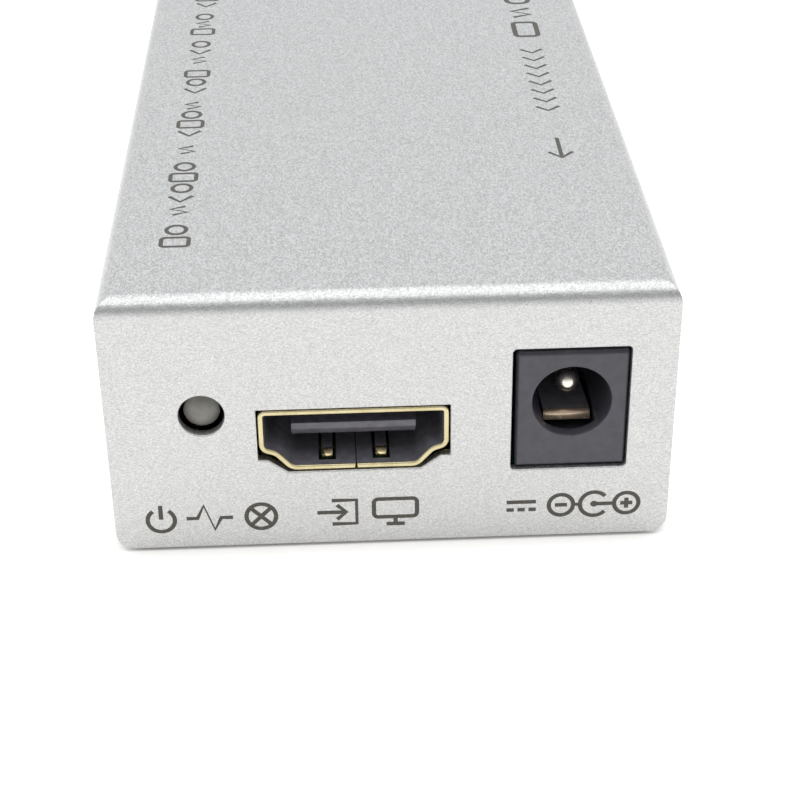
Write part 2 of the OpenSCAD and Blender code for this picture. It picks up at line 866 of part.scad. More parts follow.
function net_wire_x(i) = (i - (net_count - 1) / 2) * net_pitch;
function net_tail_y(i) = net_back_y + net_tail_in + (i % 2) * 2 * net_pitch;

module net_opening_2d(grow) {
  translate([-net_open_w / 2 - grow, net_open_z0 - grow])
    square([net_open_w + 2 * grow, net_open_h + 2 * grow]);
  translate([-net_notch_w / 2 - grow, net_open_z0 - net_notch_h - grow])
    square([net_notch_w + 2 * grow, net_notch_h + 2 * grow]);
  translate([-net_latch_w / 2 - grow, net_open_z0 - net_notch_h - net_latch_h])
    square([net_latch_w + 2 * grow, net_latch_h + grow]);
}

module net_lamp_windows_2d(grow) {
  for (side = [-1, 1])
    translate([side * net_lamp_x - net_lamp_w / 2 - grow, net_lamp_z - net_lamp_h / 2 - grow])
      square([net_lamp_w + 2 * grow, net_lamp_h + 2 * grow]);
}

module net_shield() {
  t = net_shield_t;
  color("lightsteelblue") difference() {
    span([-net_w / 2, net_back_y, board_top], [net_w / 2, net_face, board_top + net_h]);
    span(
      [-net_w / 2 + t, net_back_y + t, board_top - over],
      [net_w / 2 - t, net_face - t, board_top + net_h - t]
    );
    along_y(net_face - t - over, net_face + over) {
      net_opening_2d(0);
      net_lamp_windows_2d(clear);
    }
  }
}

module net_housing() {
  t = net_shield_t;
  color(socket_dark) difference() {
    union() {
      span(
        [-net_w / 2 + t, net_back_y + t, board_top],
        [net_w / 2 - t, net_face - t, board_top + net_h - t]
      );
      for (side = [-1, 1]) translate([side * net_peg_x, net_face - net_peg_in, board_top - net_peg_l])
        cylinder(net_peg_l, r = net_peg_r);
    }
    along_y(net_face - t - net_cavity_l, net_face) net_opening_2d(0);
    along_y(net_face - t - net_lamp_l, net_face) net_lamp_windows_2d(0);
    for (i = [0 : net_count - 1]) translate([net_wire_x(i), 0, 0]) {
      span(
        [-net_wire_r - net_comb_gap, net_face - t - net_cavity_l - over, net_ceiling - over],
        [net_wire_r + net_comb_gap, net_pivot_y + net_knuckle_r + 2 * hair, net_ceiling + net_comb_rise]
      );
      span(
        [-net_wire_r, net_tail_y(i) - net_wire_r, net_pivot_z + net_knuckle_r + hair],
        [net_wire_r, net_pivot_y, net_ceiling + net_comb_rise]
      );
      span(
        [-net_wire_r, net_tail_y(i) - net_wire_r, board_top - over],
        [net_wire_r, net_tail_y(i) + net_wire_r, net_ceiling + net_comb_rise]
      );
    }
  }
}

// Sprung contact wires: a knuckle near the mouth and a long slope into the cavity
module net_springs() {
  color("gold") for (i = [0 : net_count - 1])
    along_x(net_wire_x(i) - net_wire_r, net_wire_x(i) + net_wire_r)
      translate([net_pivot_y, net_pivot_z]) {
        circle(net_knuckle_r);
        rotate(net_wire_slope) translate([-net_wire_l, -net_wire_r])
          square([net_wire_l, 2 * net_wire_r]);
      }
}

// Fixed wires in the housing's roof that run back and down through the board
module net_pins() {
  z = net_pivot_z + net_knuckle_r + hair + net_wire_r;
  color("goldenrod") for (i = [0 : net_count - 1]) translate([net_wire_x(i), 0, 0]) {
    span(
      [-net_wire_r, net_tail_y(i) - net_wire_r, z - net_wire_r],
      [net_wire_r, net_pivot_y, z + net_wire_r]
    );
    span(
      [-net_wire_r, net_tail_y(i) - net_wire_r, board_top - net_tail_l],
      [net_wire_r, net_tail_y(i) + net_wire_r, z + net_wire_r]
    );
  }
}

module net_lamp(side) {
  translate([side * net_lamp_x, net_face, net_lamp_z]) span(
    [-net_lamp_w / 2, -net_shield_t - net_lamp_l, -net_lamp_h / 2],
    [net_lamp_w / 2, -clear, net_lamp_h / 2]
  );
}

module net_lamp_green() {
  color("mediumseagreen") net_lamp(1);
}

module net_lamp_amber() {
  color("orange") net_lamp(-1);
}

// Chips and other parts on the board

// Two rows of gull-wing leads along y, for a body of width w
module lead_rows(w, count, pitch) {
  for (turn = [0, 180]) rotate(turn) for (i = [0 : count - 1])
    translate([w / 2, (i - (count - 1) / 2) * pitch, 0]) {
      span([0, -foot_w / 2, 0], [foot_l, foot_w / 2, foot_t]);
      span([0, -foot_w / 2, 0], [foot_t, foot_w / 2, lead_rise]);
    }
}

// Moulded body that stands just clear of the board
module chip_body(w, l, h) {
  span([-w / 2, -l / 2, chip_lift], [w / 2, l / 2, h]);
}

// On the board's top face, at shares of its half width and half length
module on_board(place_share) {
  translate([place_share.x * board_w / 2, place_share.y * board_l / 2, board_top]) children();
}

module main_chip() {
  color(chip_dark) on_board(main_place_share) chip_body(main_size, main_size, main_h);
}

module main_chip_leads() {
  color("silver") on_board(main_place_share) for (turn = [0, 90]) rotate(turn)
    lead_rows(main_size, main_leads, main_lead_pitch);
}

module heat_sink() {
  pitch = (sink_size - sink_fin_t) / (sink_fins - 1);
  color("darkgray") on_board(main_place_share) translate([0, 0, main_h]) {
    span([-sink_size / 2, -sink_size / 2, 0], [sink_size / 2, sink_size / 2, sink_base]);
    for (i = [0 : sink_fins - 1]) translate([i * pitch - sink_size / 2, 0, 0])
      span([0, -sink_size / 2, 0], [sink_fin_t, sink_size / 2, sink_h]);
  }
}

module memory_chip() {
  color(chip_dark) on_board(memory_place_share) chip_body(memory_w, memory_l, memory_h);
}

module control_chip() {
  color(chip_dark) on_board(control_place_share) chip_body(control_w, control_l, control_h);
}

module small_chip_leads() {
  color("silver") {
    on_board(memory_place_share) lead_rows(memory_w, memory_leads, small_pitch);
    on_board(control_place_share) lead_rows(control_w, control_leads, control_pitch);
  }
}

// Plate with half-round ends, long way along y
module pill(l, w, h) {
  span([-w / 2, -(l - w) / 2, 0], [w / 2, (l - w) / 2, h]);
  for (end = [-1, 1]) translate([0, end * (l - w) / 2, 0]) cylinder(h, r = w / 2);
}

module clock_crystal() {
  color("silver") on_board(crystal_place_share) {
    pill(crystal_l, crystal_w, crystal_rim_h);
    pill(crystal_l - 2 * crystal_rim, crystal_w - 2 * crystal_rim, crystal_h);
  }
}

module line_transformer() {
  color(chip_dark) on_board(magnet_place_share) chip_body(magnet_w, magnet_l, magnet_h);
}

module transformer_leads() {
  color("silver") on_board(magnet_place_share) lead_rows(magnet_w, magnet_leads, small_pitch);
}

module power_coil() {
  color("dimgray") on_board(coil_place_share) {
    for (z = [0, coil_h - coil_flange_t]) translate([0, 0, z])
      span([-coil_size / 2, -coil_size / 2, 0], [coil_size / 2, coil_size / 2, coil_flange_t]);
    cylinder(coil_h, r = coil_core_r);
  }
}

module coil_winding() {
  color("peru") on_board(coil_place_share) translate([0, 0, coil_flange_t]) difference() {
    cylinder(coil_h - 2 * coil_flange_t, r = coil_wire_r);
    translate([0, 0, -over]) cylinder(coil_h + over, r = coil_core_r);
  }
}

module capacitor_cans() {
  color("silver") for (place = can_place_shares) on_board(place) translate([0, 0, can_base_h]) {
    cylinder(can_h - can_base_h - can_step, r = can_r);
    cylinder(can_h - can_base_h, r = can_r - can_step);
  }
}

module capacitor_bases() {
  b = can_base / 2;
  color("black") for (place = can_place_shares) on_board(place) linear_extrude(can_base_h) polygon([
    [-b, -b], [b - can_bevel, -b], [b, can_bevel - b], [b, b - can_bevel], [b - can_bevel, b], [-b, b]
  ]);
}

module voltage_regulator() {
  color(chip_dark) on_board(regulator_place_share) chip_body(regulator_l, regulator_w, regulator_h);
}

module regulator_tabs() {
  x0 = regulator_l / 2;
  color("silver") on_board(regulator_place_share) {
    span([x0, -regulator_tab_w / 2, 0], [x0 + regulator_tab_l, regulator_tab_w / 2, regulator_tab_t]);
    for (i = [-1 : 1]) translate([0, i * regulator_pitch, 0])
      span([-x0 - regulator_tab_l, -foot_w, 0], [-x0, foot_w, regulator_tab_t]);
  }
}

module surge_arrays() {
  color(chip_dark) for (i = [0 : array_count - 1])
    translate([video_x + (i - (array_count - 1) / 2) * array_pitch, array_y, board_top])
      span([-array_w / 2, -array_l / 2, 0], [array_w / 2, array_l / 2, array_h]);
}

// Rows of small two-ended parts, each row centred on its place
module passive_rows(row_shares, h) {
  for (place = row_shares) on_board(place) for (i = [0 : row_count - 1])
    translate([(i - (row_count - 1) / 2) * row_pitch, 0, 0])
      span([-passive_w / 2, -passive_l / 2, 0], [passive_w / 2, passive_l / 2, h]);
}

module chip_capacitors() {
  color("tan") passive_rows(capacitor_row_shares, capacitor_h);
}

module chip_resistors() {
  color("darkslategray") passive_rows(resistor_row_shares, resistor_h);
}

// Solder cones under the board, round every lead that goes through it
module solder_joints() {
  color("lightgray") for (p = through_leads()) translate([p.x, p.y, board_bottom - solder_h]) {
    tip_r = corner_reach(p.z) + solder_wall;
    difference() {
      cylinder(solder_h, tip_r, tip_r + solder_spread, $fn = wire_sides);
      span([-p.z, -p.z, -over], [p.z, p.z, solder_h + over]);
    }
  }
}

cover();
base_plate();
side_screws();
board_posts();
board_screws();
circuit_board();
video_shell();
video_springs();
video_tongue();
video_contacts();
jack_body();
jack_pin();
jack_leaf();
jack_terminals();
lamp_lens();
lamp_leads();
net_shield();
net_housing();
net_springs();
net_pins();
net_lamp_green();
net_lamp_amber();
main_chip();
main_chip_leads();
heat_sink();
memory_chip();
control_chip();
small_chip_leads();
clock_crystal();
line_transformer();
transformer_leads();
power_coil();
coil_winding();
capacitor_cans();
capacitor_bases();
voltage_regulator();
regulator_tabs();
surge_arrays();
chip_capacitors();
chip_resistors();
solder_joints();
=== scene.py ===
"""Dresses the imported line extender: a sheet-metal box with a lamp, a video socket and a jack."""
import json
import math

import bpy
from bpy.props import FloatProperty, FloatVectorProperty, PointerProperty
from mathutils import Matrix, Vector


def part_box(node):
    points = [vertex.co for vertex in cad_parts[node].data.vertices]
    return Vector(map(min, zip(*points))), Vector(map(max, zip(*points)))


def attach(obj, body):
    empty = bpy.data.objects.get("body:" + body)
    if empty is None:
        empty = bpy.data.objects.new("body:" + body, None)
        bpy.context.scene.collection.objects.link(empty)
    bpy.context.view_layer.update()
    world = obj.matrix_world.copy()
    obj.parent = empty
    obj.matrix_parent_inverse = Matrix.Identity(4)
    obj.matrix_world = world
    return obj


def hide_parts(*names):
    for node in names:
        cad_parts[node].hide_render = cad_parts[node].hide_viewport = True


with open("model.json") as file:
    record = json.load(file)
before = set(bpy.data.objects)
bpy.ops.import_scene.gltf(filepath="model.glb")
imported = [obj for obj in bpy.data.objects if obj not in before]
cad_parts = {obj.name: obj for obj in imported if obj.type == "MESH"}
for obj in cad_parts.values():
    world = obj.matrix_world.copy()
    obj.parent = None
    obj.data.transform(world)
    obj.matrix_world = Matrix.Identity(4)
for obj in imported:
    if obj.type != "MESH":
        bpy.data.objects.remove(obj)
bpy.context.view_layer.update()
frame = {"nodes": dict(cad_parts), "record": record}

bl_info = {
    "name": "Line Extender Finish",
    "version": (1, 0, 0),
    "blender": (4, 5, 0),
    "location": "View3D > Sidebar > Extender",
    "description": "Gives the packed line extender its finished edges, prints and surfaces",
    "category": "Object",
}

MM = 0.001
NODES = frame["nodes"]


def linear(code):
    """An sRGB hex value such as #C0C0C0 as the linear colour that shaders take."""
    parts = [int(code[i : i + 2], 16) / 255 for i in (1, 3, 5)]
    return (*[c / 12.92 if c <= 0.04045 else ((c + 0.055) / 1.055) ** 2.4 for c in parts], 1.0)


def colour_property(name, description, code):
    """A colour that a user may change, given as a hex value."""
    return FloatVectorProperty(
        name=name,
        description=description,
        subtype="COLOR",
        size=4,
        min=0,
        max=1,
        default=linear(code),
    )


def length_property(name, description, millimetres):
    """A length that a user may change, given in millimetres."""
    return FloatProperty(
        name=name,
        description=description,
        subtype="DISTANCE",
        unit="LENGTH",
        min=0,
        default=millimetres * MM,
    )


class EdgeSizes(bpy.types.PropertyGroup):
    """Radii that the real making leaves on each kind of edge."""

    coat_edge: length_property("Coat edge", "Radius of the powder coat over a cut sheet edge", 0.14)
    lip_edge: length_property("Lip edge", "Radius along the video socket's stamped lip", 0.165)
    strip_edge: length_property("Strip edge", "Radius on cut strip and on the lamp's foot", 0.06)
    spring_edge: length_property("Spring edge", "Radius on the springs seen from the front", 0.03)
    leaf_tip: length_property("Leaf tip", "Radius over the front edge of the jack's leaf", 0.35)
    mould_edge: length_property("Mould edge", "Radius on the moulded parts' edges", 0.12)
    screw_edge: length_property("Screw edge", "Radius on the screws' cross recess", 0.05)


class PrintSizes(bpy.types.PropertyGroup):
    """Sizes of the symbols that are screen printed on the cover."""

    pen: length_property("Pen", "Width of the printed strokes", 0.36)
    bold_pen: length_property("Bold pen", "Width of the strokes in the bold symbols", 0.52)
    ink_height: length_property("Ink height", "Height of the ink above the coat", 0.012)


class CaseColours(bpy.types.PropertyGroup):
    """Colours of the cover, its print and its fastenings."""

    coat: colour_property("Coat", "Silver of the powder coat", "#DADADA")
    # The dark flake colour is painted shade: it stands for flakes turned away from the light.
    coat_dark: colour_property("Coat, dark flake", "Flakes that lie turned away", "#AFAFAF")
    ink: colour_property("Ink", "Screen printing ink", "#4A4740")
    screw: colour_property("Screw", "Zinc plated steel", "#B9BABD")


class SocketColours(bpy.types.PropertyGroup):
    """Colours of the sockets, the jack and the status lamp."""

    gold: colour_property("Gold", "Plating of the video socket's shell", "#D0C5A0")
    # The contacts' gold is a paler copy of the shell's gold: painted light that brightens the
    # finger tips.
    contact: colour_property("Contact", "Heavier plating of the sprung contacts", "#FFEFBE")
    nickel: colour_property("Nickel", "Plating of the jack's pin", "#FAF5E8")
    # The leaf's bronze is lifted paler than real bronze: partly a painted highlight on its front
    # edge.
    bronze: colour_property("Bronze", "Sprung leaf in the jack", "#FFE6CC")
    socket: colour_property("Socket", "Housing of the network socket", "#38363B")
    jack: colour_property("Jack", "Body of the power jack", "#4C4B54")
    # The tongue's grey is lifted above a black nylon's: partly a painted highlight on its front
    # edge. The same grey is the painted shade on the shell's inner walls.
    tongue: colour_property("Tongue", "Insulator and lining of the video socket", "#75737B")
    lamp: colour_property("Lamp", "Milky body of the status lamp", "#8C8982")


class StageLight(bpy.types.PropertyGroup):
    """The studio round the box."""

    floor_half: length_property("Floor", "Half the floor's side", 700)
    card_half: length_property("Card", "Half the width of the grey card in front", 500)
    card_low: length_property("Card, lower edge", "Height of the card's lower edge", 105)
    card_top: length_property("Card, upper edge", "Height of the card's upper edge", 463)
    card_place: length_property("Card place", "How far the card stands in front of the box", 300)
    softbox_width: length_property("Softbox width", "The lamp's size across the box", 800)
    softbox_depth: length_property("Softbox depth", "The lamp's size along the box", 475)
    softbox_height: length_property("Softbox height", "Height of the lamp overhead", 420)
    softbox_place: length_property("Softbox place", "How far forward the lamp hangs", 37)
    softbox_power: FloatProperty(
        name="Softbox power",
        description="Power of the lamp overhead",
        unit="POWER",
        min=0,
        default=1.15,
    )
    floor_glow: FloatProperty(
        name="Floor glow",
        description="What the camera sees of the floor beyond its own light",
        min=0,
        default=0.52,
    )
    contact_reach: length_property("Contact reach", "Width of the dark line at the box's foot", 3.5)
    studio: colour_property("Studio", "The even surroundings", "#FCFEFF")


# The camera that was fitted to the case's edges in the photograph: the picture's side and the
# focal length in its pixels, the sensor in millimetres, the place in millimetres and the turn
# in degrees.
PHOTO_SIDE = 800
PHOTO_FOCAL = 1857.0
SENSOR = 36.0
CAMERA_PLACE = (-3.963, -169.162, 89.528)
CAMERA_TURN = (58.616, 0.569, -2.507)


def deselect():
    """Leaves nothing selected, so that an operator acts only on what is selected after it."""
    if bpy.context.object and bpy.context.object.mode != "OBJECT":
        bpy.ops.object.mode_set(mode="OBJECT")
    bpy.ops.object.select_all(action="DESELECT")


def make_active(piece):
    """Selects one piece alone."""
    deselect()
    piece.select_set(True)
    bpy.context.view_layer.objects.active = piece


def add_node(tree, kind, values=None, links=None, **settings):
    """Adds a node with its settings, its sockets' values and the outputs that its sockets take."""
    node = tree.nodes.new(kind)
    for name, value in settings.items():
        setattr(node, name, value)
    for socket, value in (values or {}).items():
        node.inputs[socket].default_value = value
    for socket, output in (links or {}).items():
        tree.links.new(output, node.inputs[socket])
    return node


def surface(name, **constants):
    """A new material and its Principled shader, with the constants set on the shader's sockets."""
    made = bpy.data.materials.new(name)
    made.use_nodes = True
    shader = made.node_tree.nodes["Principled BSDF"]
    for socket, value in constants.items():
        shader.inputs[socket.replace("_", " ")].default_value = value
    return made, made.node_tree, shader


def per_metre(millimetres):
    """The scale of a pattern on object coordinates whose cells are this wide."""
    return 1 / (millimetres * MM)


# The sockets of a Mix node that carry its factor and its colours, by their place in its lists.
FACTOR, FIRST_COLOUR, SECOND_COLOUR, MIXED_COLOUR = 0, 6, 7, 2


def two_tone(tree, shader, light, dark, grain, low=0.35, high=0.65):
    """Colour that drifts between two tones over patches of this many millimetres."""
    place = add_node(tree, "ShaderNodeTexCoord")
    noise = add_node(
        tree,
        "ShaderNodeTexNoise",
        {"Scale": per_metre(grain), "Detail": 3.0},
        {"Vector": place.outputs["Object"]},
    )
    span = add_node(
        tree,
        "ShaderNodeMapRange",
        {"From Min": low, "From Max": high},
        {"Value": noise.outputs["Fac"]},
    )
    blend = add_node(
        tree,
        "ShaderNodeMix",
        {FIRST_COLOUR: light, SECOND_COLOUR: dark},
        {FACTOR: span.outputs["Result"]},
        data_type="RGBA",
    )
    tree.links.new(blend.outputs[MIXED_COLOUR], shader.inputs["Base Color"])


def roughness_drift(tree, shader, grain, smooth, rough):
    """Gloss that drifts over patches of this many millimetres."""
    place = add_node(tree, "ShaderNodeTexCoord")
    noise = add_node(
        tree,
        "ShaderNodeTexNoise",
        {"Scale": per_metre(grain), "Detail": 2.0},
        {"Vector": place.outputs["Object"]},
    )
    span = add_node(
        tree,
        "ShaderNodeMapRange",
        {"From Min": 0.3, "From Max": 0.7, "To Min": smooth, "To Max": rough},
        {"Value": noise.outputs["Fac"]},
    )
    tree.links.new(span.outputs["Result"], shader.inputs["Roughness"])


def fine_relief(tree, shader, grain, height, stretch=(1, 1, 1)):
    """Relief of this grain and height in millimetres, drawn out along an axis of small stretch."""
    place = add_node(tree, "ShaderNodeTexCoord")
    drawn = add_node(
        tree, "ShaderNodeMapping", {"Scale": stretch}, {"Vector": place.outputs["Object"]}
    )
    noise = add_node(
        tree,
        "ShaderNodeTexNoise",
        {"Scale": per_metre(grain), "Detail": 2.0},
        {"Vector": drawn.outputs["Vector"]},
    )
    bump = add_node(
        tree,
        "ShaderNodeBump",
        {"Strength": 1.0, "Distance": height * MM},
        {"Height": noise.outputs["Fac"]},
    )
    tree.links.new(bump.outputs["Normal"], shader.inputs["Normal"])


# The coat's grain: the width of a flake in millimetres, how far its normal leans along each axis,
# how many flakes it takes to fill that width along each axis, so that they lie drawn out along the
# box and flat up its walls, and the width and height in millimetres of the cured coat's waves.
FLAKE = 0.09
FLAKE_TILT = (0.1, 0.22, 0.06)
FLAKE_RUN = (1, 0.5, 2.2)
PEEL = 0.9
PEEL_HEIGHT = 0.004


def powder_coat(colours):
    """Powder coat with aluminium flake: a satin silver whose flakes each catch the light by their
    own tilt, and each take a random tone between the coat and its dark flake, painted shade for
    flakes turned from the light. Real flakes are about 0.05 mm across, and are drawn wider, so that
    they show."""
    made, tree, shader = surface("powder_coat_with_painted_flake_shade", Metallic=0.88, Roughness=0.39)
    place = add_node(tree, "ShaderNodeTexCoord")
    rolled = add_node(
        tree, "ShaderNodeMapping", {"Scale": FLAKE_RUN}, {"Vector": place.outputs["Object"]}
    )
    flakes = add_node(
        tree,
        "ShaderNodeTexVoronoi",
        {"Scale": per_metre(FLAKE)},
        {"Vector": rolled.outputs["Vector"]},
    )
    tone = add_node(tree, "ShaderNodeSeparateColor", None, {"Color": flakes.outputs["Color"]})
    blend = add_node(
        tree,
        "ShaderNodeMix",
        {FIRST_COLOUR: colours.coat_dark, SECOND_COLOUR: colours.coat},
        {FACTOR: tone.outputs["Red"]},
        data_type="RGBA",
    )
    tree.links.new(blend.outputs[MIXED_COLOUR], shader.inputs["Base Color"])
    peel = add_node(
        tree,
        "ShaderNodeTexNoise",
        {"Scale": per_metre(PEEL), "Detail": 1.0},
        {"Vector": place.outputs["Object"]},
    )
    skin = add_node(
        tree,
        "ShaderNodeBump",
        {"Strength": 1.0, "Distance": PEEL_HEIGHT * MM},
        {"Height": peel.outputs["Fac"]},
    )
    centred = add_node(
        tree,
        "ShaderNodeVectorMath",
        {1: (0.5, 0.5, 0.5)},
        {0: flakes.outputs["Color"]},
        operation="SUBTRACT",
    )
    tilt = add_node(
        tree,
        "ShaderNodeVectorMath",
        {1: FLAKE_TILT},
        {0: centred.outputs["Vector"]},
        operation="MULTIPLY",
    )
    leaning = add_node(
        tree,
        "ShaderNodeVectorMath",
        None,
        {0: skin.outputs["Normal"], 1: tilt.outputs["Vector"]},
        operation="ADD",
    )
    normal = add_node(
        tree, "ShaderNodeVectorMath", None, {0: leaning.outputs["Vector"]}, operation="NORMALIZE"
    )
    tree.links.new(normal.outputs["Vector"], shader.inputs["Normal"])
    return made


def screen_ink(colours):
    """Screen printing ink: a flat, warm dark grey film, thinner over the coat's high grain."""
    made, tree, shader = surface("screen_printing_ink", Roughness=0.55)
    two_tone(tree, shader, colours.ink, linear("#605C54"), grain=0.3, low=0.5, high=0.8)
    fine_relief(tree, shader, grain=0.2, height=0.01)
    return made


def zinc_plated_steel(colours):
    """Zinc plated steel, turned and pressed: a cool satin grey with a faint cloudiness."""
    made, tree, shader = surface("zinc_plated_steel", Metallic=1.0)
    two_tone(tree, shader, colours.screw, linear("#9C9DA2"), grain=0.8)
    roughness_drift(tree, shader, grain=0.5, smooth=0.24, rough=0.38)
    return made


def gold_plating(name, light, dark):
    """Gold flash over nickel on stamped steel: pale, mirror-like, with faint rolling lines."""
    made, tree, shader = surface(name, Metallic=1.0)
    two_tone(tree, shader, light, dark, grain=1.2)
    roughness_drift(tree, shader, grain=0.6, smooth=0.24, rough=0.34)
    fine_relief(tree, shader, grain=0.25, height=0.0008, stretch=(1, 0.2, 1))
    return made


def bright_nickel(colours):
    """Bright nickel on turned brass: nearly a mirror, softened a little by use. Its tone is lifted
    nearly to white, partly a painted highlight.
    """
    made, tree, shader = surface("nickel_plated_brass_and_painted_highlight", Metallic=1.0)
    two_tone(tree, shader, colours.nickel, linear("#EAE3D6"), grain=0.6)
    roughness_drift(tree, shader, grain=0.4, smooth=0.22, rough=0.28)
    return made


def sprung_bronze(colours):
    """Phosphor bronze strip, rolled and pressed: a warm satin metal with lines along the strip. Its
    tone is lifted pale, partly a painted highlight for the leaf's front edge in the jack's shaded
    bore.
    """
    made, tree, shader = surface("phosphor_bronze_and_painted_highlight", Metallic=0.7)
    two_tone(tree, shader, colours.bronze, linear("#F2D4B4"), grain=0.8)
    roughness_drift(tree, shader, grain=0.5, smooth=0.2, rough=0.28)
    fine_relief(tree, shader, grain=0.15, height=0.0004, stretch=(1, 0.15, 1))
    return made


def matt_tin():
    """Matt tin plating on the jack's leaf behind its brightened tip: an even, dull grey."""
    made, tree, shader = surface("matt_tin_plating", Metallic=0.2)
    two_tone(tree, shader, linear("#B4B2BA"), linear("#A3A1AA"), grain=0.8)
    roughness_drift(tree, shader, grain=0.5, smooth=0.6, rough=0.7)
    return made


def socket_nylon(name, light, dark):
    """Glass-filled nylon, injection moulded: a dull, faintly grainy skin."""
    made, tree, shader = surface(name, IOR=1.53)
    two_tone(tree, shader, light, dark, grain=0.7)
    roughness_drift(tree, shader, grain=0.3, smooth=0.34, rough=0.5)
    fine_relief(tree, shader, grain=0.12, height=0.004)
    return made


def jack_moulding(colours):
    """Polyamide, moulded in a spark-eroded tool: satin grey-black that mirrors the floor."""
    made, tree, shader = surface("moulded_polyamide", IOR=1.53)
    two_tone(tree, shader, colours.jack, linear("#44434B"), grain=0.9)
    roughness_drift(tree, shader, grain=0.35, smooth=0.36, rough=0.5)
    fine_relief(tree, shader, grain=0.14, height=0.006)
    return made


def milky_epoxy(colours):
    """Diffused epoxy, cast: a cloudy grey body under a glossy dome with small reflections."""
    made, tree, shader = surface(
        "diffused_epoxy",
        IOR=1.52,
        Roughness=0.08,
        Subsurface_Weight=0.4,
        Subsurface_Scale=0.8 * MM,
    )
    two_tone(tree, shader, colours.lamp, linear("#7E7B75"), grain=0.9)
    return made


def tinted_epoxy(name, light, dark):
    """Tinted epoxy, cast: a coloured body with a glossy face."""
    made, tree, shader = surface(name, IOR=1.52, Roughness=0.14)
    two_tone(tree, shader, linear(light), linear(dark), grain=0.8)
    return made


def nickel_sheet():
    """Nickel plated steel sheet, rolled: bright and slightly streaked along the roll."""
    made, tree, shader = surface("nickel_plated_sheet", Metallic=1.0)
    two_tone(tree, shader, linear("#C9CACB"), linear("#B4B5B8"), grain=2.5)
    roughness_drift(tree, shader, grain=1.0, smooth=0.2, rough=0.32)
    fine_relief(tree, shader, grain=0.3, height=0.003, stretch=(1, 0.1, 1))
    return made


def tinned_copper():
    """Tinned copper leads, dipped: soft white metal with a slightly uneven skin."""
    made, tree, shader = surface("tinned_copper", Metallic=1.0)
    two_tone(tree, shader, linear("#D2D2D0"), linear("#BABAB9"), grain=0.4)
    roughness_drift(tree, shader, grain=0.3, smooth=0.25, rough=0.4)
    return made


def tin_solder():
    """Tin solder, wetted and cooled: bright, with a faint frost."""
    made, tree, shader = surface("tin_solder", Metallic=1.0)
    two_tone(tree, shader, linear("#D8D8DA"), linear("#BEBFC2"), grain=0.5)
    roughness_drift(tree, shader, grain=0.25, smooth=0.15, rough=0.4)
    return made


def solder_mask():
    """Solder mask over a glass laminate: glossy green with the squares of its copper showing."""
    made, tree, shader = surface("solder_masked_laminate", IOR=1.55, Roughness=0.24)
    place = add_node(tree, "ShaderNodeTexCoord")
    copper = add_node(
        tree,
        "ShaderNodeTexBrick",
        {
            "Scale": per_metre(4.0),
            "Color1": linear("#0E4A28"),
            "Color2": linear("#11512D"),
            "Mortar": linear("#1A6439"),
        },
        {"Vector": place.outputs["Object"]},
    )
    tree.links.new(copper.outputs["Color"], shader.inputs["Base Color"])
    fine_relief(tree, shader, grain=0.6, height=0.006)
    return made


def chip_compound():
    """Epoxy moulding compound: a dull charcoal with the fine pits of its ground filler."""
    made, tree, shader = surface("epoxy_moulding_compound", IOR=1.55)
    two_tone(tree, shader, linear("#222225"), linear("#2C2C2F"), grain=0.35)
    roughness_drift(tree, shader, grain=0.3, smooth=0.5, rough=0.65)
    fine_relief(tree, shader, grain=0.12, height=0.008)
    return made


def anodised_sink():
    """Extruded aluminium, clear anodised: an even grey with lines along the extrusion."""
    made, tree, shader = surface("anodised_aluminium", Metallic=1.0)
    two_tone(tree, shader, linear("#A4A6A9"), linear("#94969A"), grain=1.2)
    roughness_drift(tree, shader, grain=0.6, smooth=0.34, rough=0.46)
    fine_relief(tree, shader, grain=0.2, height=0.006, stretch=(1, 0.1, 1))
    return made


def drawn_aluminium():
    """Deep-drawn aluminium cans: bright, with the drawing lines up their sides."""
    made, tree, shader = surface("drawn_aluminium", Metallic=1.0)
    two_tone(tree, shader, linear("#D0D0D2"), linear("#BDBEC0"), grain=0.8)
    roughness_drift(tree, shader, grain=0.5, smooth=0.2, rough=0.32)
    fine_relief(tree, shader, grain=0.15, height=0.004, stretch=(1, 1, 0.1))
    return made


def sintered_ferrite():
    """Sintered ferrite: dark and chalky."""
    made, tree, shader = surface("sintered_ferrite", IOR=1.6)
    two_tone(tree, shader, linear("#2E2E30"), linear("#3B3B3D"), grain=0.3)
    roughness_drift(tree, shader, grain=0.3, smooth=0.55, rough=0.7)
    fine_relief(tree, shader, grain=0.15, height=0.01)
    return made


def enamelled_copper():
    """Enamelled copper wire: a clear amber lacquer over bright copper."""
    made, tree, shader = surface(
        "enamelled_copper", Metallic=1.0, Coat_Weight=0.6, Coat_Roughness=0.1
    )
    two_tone(tree, shader, linear("#B4622F"), linear("#8E4620"), grain=0.6)
    roughness_drift(tree, shader, grain=0.4, smooth=0.22, rough=0.32)
    return made


def fired_ceramic():
    """Fired ceramic chips: a dull tan body."""
    made, tree, shader = surface("fired_ceramic", IOR=1.6)
    two_tone(tree, shader, linear("#A88A64"), linear("#8F7450"), grain=0.4)
    roughness_drift(tree, shader, grain=0.3, smooth=0.45, rough=0.6)
    return made


def paint(material, *names):
    """Gives CAD nodes a surface through their own material slots."""
    for name in names:
        for place in NODES[name].material_slots:
            place.material = material


# Working on a CAD node's copy: corners closer than this in millimetres are one, faces within this
# many degrees are one flat face, and two normals that differ by more than this along an axis are
# those of two different folds.
ONE_CORNER = 0.002
ONE_FACE = 0.2
TWO_FOLDS = 0.05


